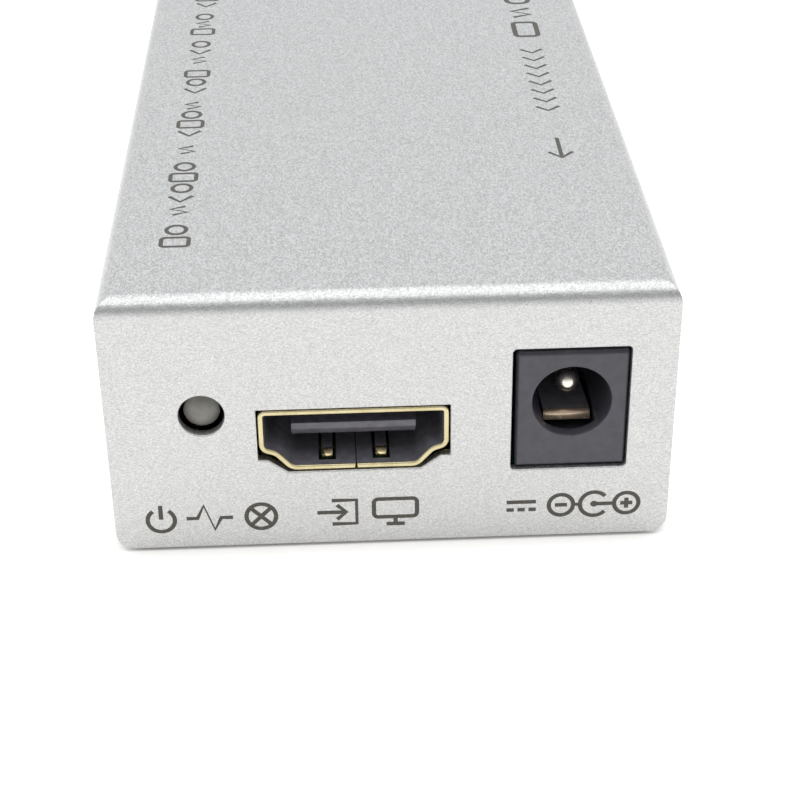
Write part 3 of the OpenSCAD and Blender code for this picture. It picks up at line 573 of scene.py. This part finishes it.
def merged_copy(node):
    """A copy of a CAD node whose loose triangles are joined into whole faces, to be worked on."""
    piece = bpy.data.objects.new(f"{node}_finished", NODES[node].data.copy())
    bpy.context.scene.collection.objects.link(piece)
    make_active(piece)
    bpy.ops.mesh.customdata_custom_splitnormals_clear()
    bpy.ops.object.mode_set(mode="EDIT")
    bpy.ops.mesh.select_all(action="SELECT")
    bpy.ops.mesh.remove_doubles(threshold=ONE_CORNER * MM)
    bpy.ops.mesh.dissolve_limited(angle_limit=math.radians(ONE_FACE), delimit={"NORMAL"})
    bpy.ops.object.mode_set(mode="OBJECT")
    return piece


def meeting_faces(mesh):
    """Each edge between two faces, with its middle in millimetres and the two faces' normals."""
    sides = {}
    for face in mesh.polygons:
        for key in face.edge_keys:
            sides.setdefault(key, []).append(face.normal)
    for edge in mesh.edges:
        if len(sides[edge.key]) == 2:
            start, end = (mesh.vertices[index].co for index in edge.vertices)
            yield edge, (start + end) / 2 / MM, *sides[edge.key]


def mark_edges(piece, sharp, plain):
    """Marks the edges that turn by more than this many degrees, outside the plain places."""
    weights = piece.data.attributes.new("bevel_weight_edge", "FLOAT", "EDGE")
    for edge, middle, one, other in meeting_faces(piece.data):
        if one.angle(other) > math.radians(sharp) and not plain(middle):
            weights.data[edge.index].value = 1.0


def part_folds(piece, height):
    """Keeps the shading of two folds apart along the mitre where they meet, above this height."""
    for edge, middle, one, other in meeting_faces(piece.data):
        across = abs(abs(one.x) - abs(other.x)) > TWO_FOLDS
        along = abs(abs(one.y) - abs(other.y)) > TWO_FOLDS
        if middle.z > height and across and along:
            edge.use_edge_sharp = True


def round_edges(piece, radius, segments=3, sharp=30, plain=None, mitre=None):
    """Rounds every edge that turns by more than this many degrees, and keeps the faces between
    them flat to the eye. Plain says of a place in millimetres whether its edges stay as they
    are. Above the mitre, a height in millimetres, folds that meet are shaded apart."""
    make_active(piece)
    bevel = piece.modifiers.new("edges", "BEVEL")
    bevel.width = radius
    bevel.segments = segments
    bevel.limit_method = "ANGLE"
    bevel.angle_limit = math.radians(sharp)
    if plain:
        mark_edges(piece, sharp, plain)
        bevel.limit_method = "WEIGHT"
    bevel.use_clamp_overlap = False
    bpy.ops.object.modifier_apply(modifier=bevel.name)
    bpy.ops.object.shade_smooth_by_angle(angle=math.radians(sharp))
    if mitre:
        part_folds(piece, mitre)
    weighted = piece.modifiers.new("faces", "WEIGHTED_NORMAL")
    weighted.keep_sharp = True
    bpy.ops.object.modifier_apply(modifier=weighted.name)


def finish_node(node, material, radius, body="root", **rounding):
    """A stand-in for one CAD node: its own form with rounded edges and its real surface."""
    return finish_piece(merged_copy(node), node, material, radius, body, **rounding)


def finish_piece(piece, node, material, radius, body="root", **rounding):
    """Rounds a piece's edges and lets it stand for its CAD node, on the node's own body."""
    round_edges(piece, radius, **rounding)
    piece.data.materials.clear()
    piece.data.materials.append(material)
    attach(piece, body)
    slot_of(node)
    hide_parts(node)
    return piece


def lit_tip_only(strip, dull, reach):
    """Gives a sprung strip a second skin from this many millimetres behind its front end, so that
    its brightened colour, partly painted light, shows only at the tip. On the gold fingers that
    skin is grey nylon: painted shade.
    """
    strip.data.materials.append(dull)
    tip_ends = min(vertex.co.y for vertex in strip.data.vertices) + reach * MM
    for face in strip.data.polygons:
        if face.center.y > tip_ends:
            face.material_index = 1


def slot_of(node):
    """The record's material slot of a CAD node."""
    parts = frame["record"]["subparts"]
    return next(part["material_slot"] for part in parts if part["node"] == node)


# Drawing the print: a round stroke has a corner at least this often in degrees and at least this
# many, its two ends are one when they are this close in millimetres, and a box's corner is found
# within this many millimetres of its place.
ARC_STEP = 12
ARC_LEAST = 6
ONE_END = 0.005
AT_CORNER = 0.01


class Pen:
    """Draws strokes in edit mode on a flat sheet, as chains of edges that become ink later.
    All places are in millimetres from where the pen was last moved to."""

    def __init__(self, name):
        deselect()
        bpy.ops.mesh.primitive_plane_add(size=MM)
        self.sheet = bpy.context.object
        self.sheet.name = name
        self.origin = (0, 0)
        bpy.ops.object.mode_set(mode="EDIT")
        bpy.ops.mesh.delete(type="VERT")

    def move_to(self, x, y):
        """Sets where the next strokes are measured from."""
        self.origin = (x, y)

    def place(self, x, y):
        """A stroke's place on the sheet, in metres."""
        return Vector(((self.origin[0] + x) * MM, (self.origin[1] + y) * MM, 0))

    def set_down(self, place):
        """Adds the one vertex that a stroke grows from: a small plane, merged."""
        bpy.ops.mesh.select_all(action="DESELECT")
        bpy.ops.mesh.primitive_plane_add(size=MM, location=place)
        bpy.ops.mesh.merge(type="CENTER")

    def line(self, *points):
        """A stroke through these points."""
        places = [self.place(x, y) for x, y in points]
        self.set_down(places[0])
        for here, there in zip(places, places[1:]):
            bpy.ops.mesh.extrude_region_move(TRANSFORM_OT_translate={"value": there - here})

    def arc(self, x, y, radius, start=0, sweep=360):
        """A round stroke about a centre, from this start over this sweep in degrees."""
        first = math.radians(start)
        centre = self.place(x, y)
        self.set_down(centre + Vector((math.cos(first), math.sin(first), 0)) * radius * MM)
        steps = max(ARC_LEAST, round(abs(sweep) / ARC_STEP))
        bpy.ops.mesh.spin(steps=steps, angle=math.radians(sweep), center=centre, axis=(0, 0, -1))
        if sweep == 360:
            bpy.ops.mesh.select_all(action="SELECT")
            bpy.ops.mesh.remove_doubles(threshold=ONE_END * MM)

    def box(self, left, low, right, high, corner=0.35):
        """A closed box with round corners."""
        start, end = self.place(left, low), self.place(right, high)
        centre, sides = (start + end) / 2, end - start
        bpy.ops.mesh.select_all(action="DESELECT")
        bpy.ops.mesh.primitive_plane_add(size=1, location=centre)
        bpy.ops.transform.resize(value=(sides.x, sides.y, 1), center_override=centre)
        bpy.ops.mesh.delete(type="ONLY_FACE")
        bpy.ops.mesh.select_all(action="DESELECT")
        self.select_corners(start, end)
        bpy.ops.mesh.bevel(offset=corner * MM, segments=4, affect="VERTICES")

    def select_corners(self, start, end):
        """Selects the four corners of a box by their place."""
        bpy.ops.object.mode_set(mode="OBJECT")
        for vertex in self.sheet.data.vertices:
            x, y = vertex.co.xy
            beside = min(abs(x - start.x), abs(x - end.x)) < AT_CORNER * MM
            level = min(abs(y - start.y), abs(y - end.y)) < AT_CORNER * MM
            vertex.select = beside and level
        bpy.ops.object.mode_set(mode="EDIT")

    def ink(self, width, height):
        """Turns the strokes to flat ribs of ink, half in the coat and half proud of it."""
        bpy.ops.object.mode_set(mode="OBJECT")
        make_active(self.sheet)
        bpy.ops.object.convert(target="CURVE")
        strokes = bpy.context.object
        strokes.data.bevel_depth = width / 2
        strokes.data.bevel_resolution = 2
        strokes.data.use_fill_caps = True
        bpy.ops.object.convert(target="MESH")
        made = bpy.context.object
        made.scale.z = height / (width / 2)
        bpy.ops.object.transform_apply(location=False, rotation=False, scale=True)
        return made


def lay_print(made, rotation, location, material):
    """Turns a printed group onto the cover and gives it its ink."""
    made.rotation_euler = rotation
    made.location = location
    make_active(made)
    bpy.ops.object.transform_apply(location=True, rotation=True, scale=True)
    bpy.ops.object.shade_smooth_by_angle(angle=math.radians(40))
    made.data.materials.clear()
    made.data.materials.append(material)
    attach(made, "root")
    return made


class StageOperator(bpy.types.Operator):
    """Adds the white floor, the studio light and the camera at the photograph's place."""

    bl_idname = "extender.stage"
    bl_label = "Stage"

    def execute(self, context):
        light = context.scene.extender_light
        self.add_floor(light)
        self.add_world(context.scene, light)
        self.add_card(light)
        self.add_softbox(light)
        self.add_camera(context.scene)
        context.scene.view_settings.view_transform = "Standard"
        return {"FINISHED"}

    def add_floor(self, light):
        """A white paper floor that keeps the box's shadow. Its glow shows only to the camera and in
        what mirrors it, and fades where the box
        stands on it: a painted contact shadow."""
        deselect()
        bpy.ops.mesh.primitive_plane_add(size=2 * light.floor_half)
        floor = bpy.context.object
        floor.name = "paper_floor"
        bpy.ops.object.transform_apply(location=True, rotation=True, scale=True)
        made, tree, shader = surface("white_paper_with_painted_contact_shadow", Roughness=0.9, Base_Color=linear("#EDECEA"))
        shader.inputs["Specular IOR Level"].default_value = 0.1
        path = add_node(tree, "ShaderNodeLightPath")
        seen = add_node(
            tree,
            "ShaderNodeMath",
            None,
            {0: path.outputs["Is Camera Ray"], 1: path.outputs["Is Glossy Ray"]},
            operation="MAXIMUM",
        )
        shown = add_node(
            tree,
            "ShaderNodeMath",
            None,
            {0: seen.outputs["Value"], 1: path.outputs["Is Transmission Ray"]},
            operation="MAXIMUM",
        )
        # The glow fades by occlusion near the box: a painted contact shadow.
        contact = add_node(
            tree, "ShaderNodeAmbientOcclusion", {"Distance": light.contact_reach}, samples=8
        )
        glow = add_node(
            tree,
            "ShaderNodeMath",
            {1: light.floor_glow},
            {0: contact.outputs["AO"]},
            operation="MULTIPLY",
        )
        strength = add_node(
            tree,
            "ShaderNodeMath",
            None,
            {0: shown.outputs["Value"], 1: glow.outputs["Value"]},
            operation="MULTIPLY",
        )
        shader.inputs["Emission Color"].default_value = linear("#FFFDFA")
        tree.links.new(strength.outputs["Value"], shader.inputs["Emission Strength"])
        floor.data.materials.append(made)

    def add_world(self, scene, light):
        """An even white studio."""
        world = bpy.data.worlds.new("studio")
        scene.world = world
        world.use_nodes = True
        sky = world.node_tree.nodes["Background"]
        sky.inputs["Color"].default_value = light.studio
        sky.inputs["Strength"].default_value = 1.0

    def add_card(self, light):
        """A grey card behind the camera, which the front and its fold mirror as a darker band."""
        deselect()
        bpy.ops.mesh.primitive_plane_add(
            size=1,
            location=(0, -light.card_place, (light.card_low + light.card_top) / 2),
            rotation=(math.radians(90), 0, 0),
        )
        card = bpy.context.object
        card.name = "grey_card"
        card.scale = (2 * light.card_half, light.card_top - light.card_low, 1)
        bpy.ops.object.transform_apply(location=True, rotation=True, scale=True)
        made, tree, shader = surface(
            "grey_card_board", Roughness=0.9, Base_Color=linear("#8C8C8C")
        )
        card.data.materials.append(made)
        card.visible_camera = False

    def add_softbox(self, light):
        """A wide lamp overhead."""
        deselect()
        bpy.ops.object.light_add(
            type="AREA", location=(0, -light.softbox_place, light.softbox_height)
        )
        lamp = bpy.context.object
        lamp.name = "softbox"
        lamp.data.shape = "RECTANGLE"
        lamp.data.size = light.softbox_width
        lamp.data.size_y = light.softbox_depth
        lamp.data.energy = light.softbox_power

    def add_camera(self, scene):
        """The camera that was fitted to the case's edges in the photograph."""
        deselect()
        bpy.ops.object.camera_add(
            location=[v * MM for v in CAMERA_PLACE], rotation=[math.radians(v) for v in CAMERA_TURN]
        )
        camera = bpy.context.object
        camera.name = "photo_camera"
        camera.data.sensor_width = SENSOR
        camera.data.lens = PHOTO_FOCAL / PHOTO_SIDE * SENSOR
        camera.data.clip_start = 10 * MM
        camera.data.clip_end = 10
        scene.camera = camera


# On the cover, in millimetres: the height above which its folds meet in a mitre, and how far out
# the slits between its folded walls lie. The base plate's coat is this many times thinner.
MITRE = 21.5
SLIT_X = 21.2
SLIT_Y = 43.2
THINNER = 3


class CoverOperator(bpy.types.Operator):
    """Finishes the folded cover and the base plate with rounded edges and their powder coat."""

    bl_idname = "extender.cover"
    bl_label = "Cover"

    def execute(self, context):
        edge = context.scene.extender_edges.coat_edge
        coat = powder_coat(context.scene.extender_case)
        finish_node("cover", coat, edge, segments=3, sharp=40, plain=self.at_slit, mitre=MITRE)
        finish_node("base_plate", coat, edge / THINNER, segments=2, sharp=40)
        return {"FINISHED"}

    def at_slit(self, place):
        """The slits between the folded walls are narrower than a rounded edge."""
        return abs(place.x) > SLIT_X and abs(place.y) > SLIT_Y


class FastenerOperator(bpy.types.Operator):
    """Finishes the side screws, and the posts and screws that hold the board."""

    bl_idname = "extender.fasteners"
    bl_label = "Fasteners"

    def execute(self, context):
        edge = context.scene.extender_edges.screw_edge
        steel = zinc_plated_steel(context.scene.extender_case)
        finish_node("side_screws", steel, edge, segments=2, sharp=35)
        paint(steel, "board_posts", "board_screws")
        return {"FINISHED"}


# Where the front's symbols stand, in millimetres to the right of the middle and above the floor.
SWITCH_SIGN = (-18.75, 3.0)
PULSE_SIGN = (-14.8, 3.1)
LAMP_SIGN = (-10.65, 3.1)
ENTRY_SIGN = (-4.4, 3.25)
SCREEN_SIGN = (0.25, 3.25)
CURRENT_SIGN = (10.5, 3.25)
BARREL_SIGN = (16.45, 3.25)


class FrontPrintOperator(bpy.types.Operator):
    """Prints the plain symbols under the lamp, the video socket and the jack."""

    bl_idname = "extender.front_print"
    bl_label = "Front print"

    def execute(self, context):
        sizes = context.scene.extender_prints
        ink = screen_ink(context.scene.extender_case)
        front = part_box("cover")[0].y
        for name, draw in (
            ("lamp_symbols", self.draw_lamp_symbols),
            ("video_symbols", self.draw_video_symbols),
            ("power_symbols", self.draw_power_symbols),
        ):
            pen = Pen(name)
            draw(pen)
            made = pen.ink(sizes.pen, sizes.ink_height)
            lay_print(made, (math.radians(90), 0, 0), (0, front, 0), ink)
        return {"FINISHED"}

    def draw_lamp_symbols(self, pen):
        """A switch-on sign, a pulse and a lamp sign."""
        pen.move_to(*SWITCH_SIGN)
        pen.arc(0, 0, 1.1, 125, 290)
        pen.line((0, 0.1), (0, 1.45))
        pen.move_to(*PULSE_SIGN)
        pen.line((-1.9, 0), (-1.0, 0), (-0.45, 1.2), (0.35, -1.15), (0.9, 0), (1.85, 0))
        pen.move_to(*LAMP_SIGN)
        pen.arc(0, 0, 1.2)
        pen.line((-0.8, -0.8), (0.8, 0.8))
        pen.line((-0.8, 0.8), (0.8, -0.8))

    def draw_video_symbols(self, pen):
        """An arrow into a frame, and a screen on its foot."""
        pen.move_to(*ENTRY_SIGN)
        pen.line((-0.5, 1.15), (1.5, 1.15), (1.5, -1.15), (-0.5, -1.15))
        pen.line((-1.7, 0), (0.6, 0))
        pen.line((-0.1, 0.7), (0.65, 0), (-0.1, -0.7))
        pen.move_to(*SCREEN_SIGN)
        pen.box(-1.75, -0.6, 1.75, 1.15)
        pen.line((-0.75, -1.3), (0.75, -1.3))
        pen.line((0, -0.6), (0, -1.3))

    def draw_power_symbols(self, pen):
        """The sign for direct current, and the sign for a barrel plug whose inside is positive."""
        pen.move_to(*CURRENT_SIGN)
        pen.line((-1.2, 0.4), (1.2, 0.4))
        for start in (-1.2, -0.3, 0.6):
            pen.line((start, -0.35), (start + 0.6, -0.35))
        pen.move_to(*BARREL_SIGN)
        pen.arc(-2.7, 0, 1.0)
        pen.line((-3.2, 0), (-2.2, 0))
        pen.line((-1.7, 0), (-1.15, 0))
        pen.arc(0, 0, 1.15, 40, 280)
        pen.arc(0, 0, 0.12)
        pen.line((0, 0), (1.65, 0))
        pen.arc(2.65, 0, 1.0)
        pen.line((2.15, 0), (3.15, 0))
        pen.line((2.65, -0.5), (2.65, 0.5))


# The top's print, in millimetres: how far to the right of the middle its two lines run, how far
# in front of the middle each group of marks starts, and the room that each mark takes.
LEFT_LINE = -16.8
RIGHT_LINE = 16.05
SIGNALS_START = 35.8
SIGNAL_MARKS = "br wcrbr w cbrw crb wcr bwr cb rw bcr"
MARK_ROOM = 2.2
GAP_ROOM = 1.4
ARROW_TIP = 20.6
CHEVRONS_START = 10.0
CHEVRON_ROOM = 2.1
CHEVRON_COUNT = 8
SCREEN_MARK = -11.4
WAVE_MARK = -16.3
FRAME_MARK = -20.7
BAR_MARK = -23.8


class TopPrintOperator(bpy.types.Operator):
    """Prints the two lines of plain symbols that run along the top."""

    bl_idname = "extender.top_print"
    bl_label = "Top print"

    def execute(self, context):
        sizes = context.scene.extender_prints
        ink = screen_ink(context.scene.extender_case)
        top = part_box("cover")[1].z
        for name, draw, width in (
            ("signal_line", self.draw_signal_line, sizes.pen),
            ("arrow_line", self.draw_arrow_line, sizes.pen),
            ("screen_line", self.draw_screen_line, sizes.bold_pen),
        ):
            pen = Pen(name)
            draw(pen)
            made = pen.ink(width, sizes.ink_height)
            lay_print(made, (0, 0, math.radians(-90)), (0, 0, top), ink)
        return {"FINISHED"}

    def draw_signal_line(self, pen):
        """Along the left: groups of boxes, rings, waves and chevrons, as on a wiring plan."""
        along = SIGNALS_START
        for mark in SIGNAL_MARKS:
            pen.move_to(along, LEFT_LINE)
            if mark == "b":
                pen.box(-1.6, -1.1, 0, 1.1, 0.3)
            if mark == "r":
                pen.arc(-0.8, 0, 0.8)
            if mark == "w":
                pen.line((0, -0.5), (-0.5, 0.7), (-1.1, -0.7), (-1.6, 0.5))
            if mark == "c":
                pen.line((-1.4, -1.0), (-0.3, 0), (-1.4, 1.0))
            along -= GAP_ROOM if mark == " " else MARK_ROOM

    def draw_arrow_line(self, pen):
        """Along the right: an arrow that leaves the box, and a row of chevrons."""
        pen.move_to(ARROW_TIP, RIGHT_LINE)
        pen.line((-4.3, 0), (0, 0))
        pen.line((-1.2, -1.05), (0, 0), (-1.2, 1.05))
        for step in range(CHEVRON_COUNT):
            pen.move_to(CHEVRONS_START - CHEVRON_ROOM * step, RIGHT_LINE)
            pen.line((-1.0, -1.05), (0, 0), (-1.0, 1.05))

    def draw_screen_line(self, pen):
        """Further along the right, in a bold pen: a screen, a wave, a frame and a bar."""
        pen.move_to(SCREEN_MARK, RIGHT_LINE)
        pen.box(-2.0, -1.1, 2.0, 1.15, 0.5)
        pen.move_to(WAVE_MARK, RIGHT_LINE)
        pen.line((1.3, -0.85), (0.5, 0.95), (-0.5, -0.95), (-1.3, 0.95))
        pen.move_to(FRAME_MARK, RIGHT_LINE)
        pen.box(-1.5, -1.1, 1.5, 1.15, 0.9)
        pen.move_to(BAR_MARK, RIGHT_LINE)
        pen.line((0, -1.05), (0, 1.15))


# In the video socket, in millimetres: how far in the lip's gold shows before the painted shade of
# the inner walls, where the lip ends, and how far back from their tips the fingers keep their gold
# before a painted shade of grey nylon.
GOLD_REACH = 0.9
LIP_ENDS = -44.6
FINGER_REACH = 1.1


class VideoSocketOperator(bpy.types.Operator):
    """Finishes the video socket: gold plated shell and fingers, moulded tongue and its contacts."""

    bl_idname = "extender.video_socket"
    bl_label = "Video socket"

    def execute(self, context):
        edges = context.scene.extender_edges
        colours = context.scene.extender_sockets
        gold = gold_plating("gold_plated_steel", colours.gold, linear("#C4B890"))
        contact = gold_plating("gold_contact_and_painted_light", colours.contact, linear("#F4DFA8"))
        nylon = socket_nylon("grey_nylon_and_painted_shade", colours.tongue, linear("#64626A"))
        shell = finish_node(
            "video_shell", gold, edges.lip_edge, segments=4, sharp=40, plain=self.behind_lip
        )
        # The shell's inner walls take the grey nylon: painted shade in place of their gold.
        self.shade_inner_walls(shell, nylon)
        fingers = finish_node(
            "video_springs", contact, edges.spring_edge, "plug_fingers", segments=2, sharp=50
        )
        # Behind their tips the gold fingers take the grey nylon: painted shade.
        lit_tip_only(fingers, nylon, FINGER_REACH)
        finish_node("video_tongue", nylon, edges.mould_edge, segments=2, sharp=35)
        paint(contact, "video_contacts")
        return {"FINISHED"}

    def behind_lip(self, place):
        """Only the lip is rounded: the slots round the fingers keep all their room."""
        return place.y > LIP_ENDS

    def shade_inner_walls(self, shell, inner_shade):
        """Paints shade on the shell's inner walls, behind the lip: they take the tongue's grey
        nylon in place of their gold.
        """
        low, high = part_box("video_tongue")
        middle = (low + high) / 2
        gold_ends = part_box("video_shell")[0].y + GOLD_REACH * MM
        shell.data.materials.append(inner_shade)
        for face in shell.data.polygons:
            away = middle - face.center
            inward = away.x * face.normal.x + away.z * face.normal.z
            if face.center.y > gold_ends and inward > 0:
                face.material_index = 1


# In the power jack, in millimetres: how far back its moulding shows, how far back the leaf keeps
# its pale bronze, partly a painted highlight, before dull tin, and how deep and how high the front
# edge that is rounded is looked for.
JACK_SHOWS = -44.0
LEAF_REACH = 0.75
TIP_DEPTH = 0.2
TIP_HEIGHT = 0.05


class PowerJackOperator(bpy.types.Operator):
    """Finishes the power jack: moulded body, nickel plated pin and sprung leaf."""

    bl_idname = "extender.power_jack"
    bl_label = "Power jack"

    def execute(self, context):
        edges = context.scene.extender_edges
        colours = context.scene.extender_sockets
        leaf = merged_copy("jack_leaf")
        self.curl_tip(leaf, edges.leaf_tip)
        moulding = jack_moulding(colours)
        finish_node(
            "jack_body", moulding, edges.mould_edge, segments=3, sharp=50, plain=self.inside_case
        )
        bronze = sprung_bronze(colours)
        finish_piece(
            leaf, "jack_leaf", bronze, edges.spring_edge, "sleeve_leaf", segments=2, sharp=50
        )
        lit_tip_only(leaf, matt_tin(), LEAF_REACH)
        paint(bright_nickel(colours), "jack_pin")
        paint(tinned_copper(), "jack_terminals")
        return {"FINISHED"}

    def inside_case(self, place):
        """Only the jack's face shows, and its rear parts keep their moulded corners."""
        return place.y > JACK_SHOWS

    def curl_tip(self, leaf, radius):
        """Rounds the leaf's upper front edge, where a plug slides on."""
        make_active(leaf)
        bpy.ops.object.mode_set(mode="EDIT")
        bpy.ops.mesh.select_mode(type="VERT")
        bpy.ops.mesh.select_all(action="DESELECT")
        bpy.ops.object.mode_set(mode="OBJECT")
        points = leaf.data.vertices
        tip = min(point.co.y for point in points) + TIP_DEPTH * MM
        top = max(point.co.z for point in points if point.co.y < tip) - TIP_HEIGHT * MM
        for point in points:
            point.select = point.co.y < tip and point.co.z > top
        bpy.ops.object.mode_set(mode="EDIT")
        bpy.ops.mesh.bevel(offset=radius, segments=6, affect="EDGES", clamp_overlap=True)
        bpy.ops.object.mode_set(mode="OBJECT")


class LampOperator(bpy.types.Operator):
    """Finishes the status lamp behind its hole."""

    bl_idname = "extender.lamp"
    bl_label = "Status lamp"

    def execute(self, context):
        epoxy = milky_epoxy(context.scene.extender_sockets)
        finish_node("lamp_lens", epoxy, context.scene.extender_edges.strip_edge, segments=2)
        paint(tinned_copper(), "lamp_leads")
        return {"FINISHED"}


class NetworkSocketOperator(bpy.types.Operator):
    """Finishes the network socket in the rear panel."""

    bl_idname = "extender.network_socket"
    bl_label = "Network socket"

    def execute(self, context):
        edges = context.scene.extender_edges
        colours = context.scene.extender_sockets
        gold = gold_plating("gold_plated_wire", colours.contact, linear("#DCC484"))
        sheet = nickel_sheet()
        finish_node("net_shield", sheet, edges.strip_edge, segments=2, sharp=35)
        nylon = socket_nylon("glass_filled_nylon_black", colours.socket, linear("#302E33"))
        finish_node("net_housing", nylon, edges.mould_edge, segments=2, sharp=35)
        finish_node("net_springs", gold, edges.strip_edge, "line_wires", segments=2, sharp=35)
        green = tinted_epoxy("green_epoxy", "#5FA467", "#4B8A54")
        finish_node("net_lamp_green", green, edges.mould_edge)
        amber = tinted_epoxy("amber_epoxy", "#D08A35", "#B87323")
        finish_node("net_lamp_amber", amber, edges.mould_edge)
        paint(gold, "net_pins")
        return {"FINISHED"}


class BoardOperator(bpy.types.Operator):
    """Gives the board and all that is soldered to it their surfaces."""

    bl_idname = "extender.board"
    bl_label = "Board and its parts"

    def execute(self, context):
        paint(solder_mask(), "circuit_board")
        paint(
            chip_compound(),
            "main_chip", "memory_chip", "control_chip", "line_transformer",
            "capacitor_bases", "voltage_regulator", "surge_arrays", "chip_resistors",
        )
        paint(
            tinned_copper(),
            "main_chip_leads", "small_chip_leads", "transformer_leads", "regulator_tabs",
        )
        paint(anodised_sink(), "heat_sink")
        paint(nickel_sheet(), "clock_crystal")
        paint(drawn_aluminium(), "capacitor_cans")
        paint(sintered_ferrite(), "power_coil")
        paint(enamelled_copper(), "coil_winding")
        paint(fired_ceramic(), "chip_capacitors")
        paint(tin_solder(), "solder_joints")
        return {"FINISHED"}


class ExtenderPanel(bpy.types.Panel):
    """Lists the operators in the order in which they are run."""

    bl_idname = "VIEW3D_PT_extender"
    bl_label = "Line Extender"
    bl_space_type = "VIEW_3D"
    bl_region_type = "UI"
    bl_category = "Extender"

    def draw(self, context):
        for operator in OPERATORS:
            self.layout.operator(operator.bl_idname)


OPERATORS = [
    StageOperator,
    CoverOperator,
    FastenerOperator,
    FrontPrintOperator,
    TopPrintOperator,
    VideoSocketOperator,
    PowerJackOperator,
    LampOperator,
    NetworkSocketOperator,
    BoardOperator,
]
SETTINGS = {
    "extender_edges": EdgeSizes,
    "extender_prints": PrintSizes,
    "extender_case": CaseColours,
    "extender_sockets": SocketColours,
    "extender_light": StageLight,
}


def register():
    for kind in [*SETTINGS.values(), *OPERATORS, ExtenderPanel]:
        bpy.utils.register_class(kind)
    for name, kind in SETTINGS.items():
        setattr(bpy.types.Scene, name, PointerProperty(type=kind))


def unregister():
    for name in SETTINGS:
        delattr(bpy.types.Scene, name)
    for kind in reversed([*SETTINGS.values(), *OPERATORS, ExtenderPanel]):
        bpy.utils.unregister_class(kind)


def main():
    register()
    for operator in OPERATORS:
        group, name = operator.bl_idname.split(".")
        getattr(getattr(bpy.ops, group), name)()


if __name__ == "__main__":
    main()
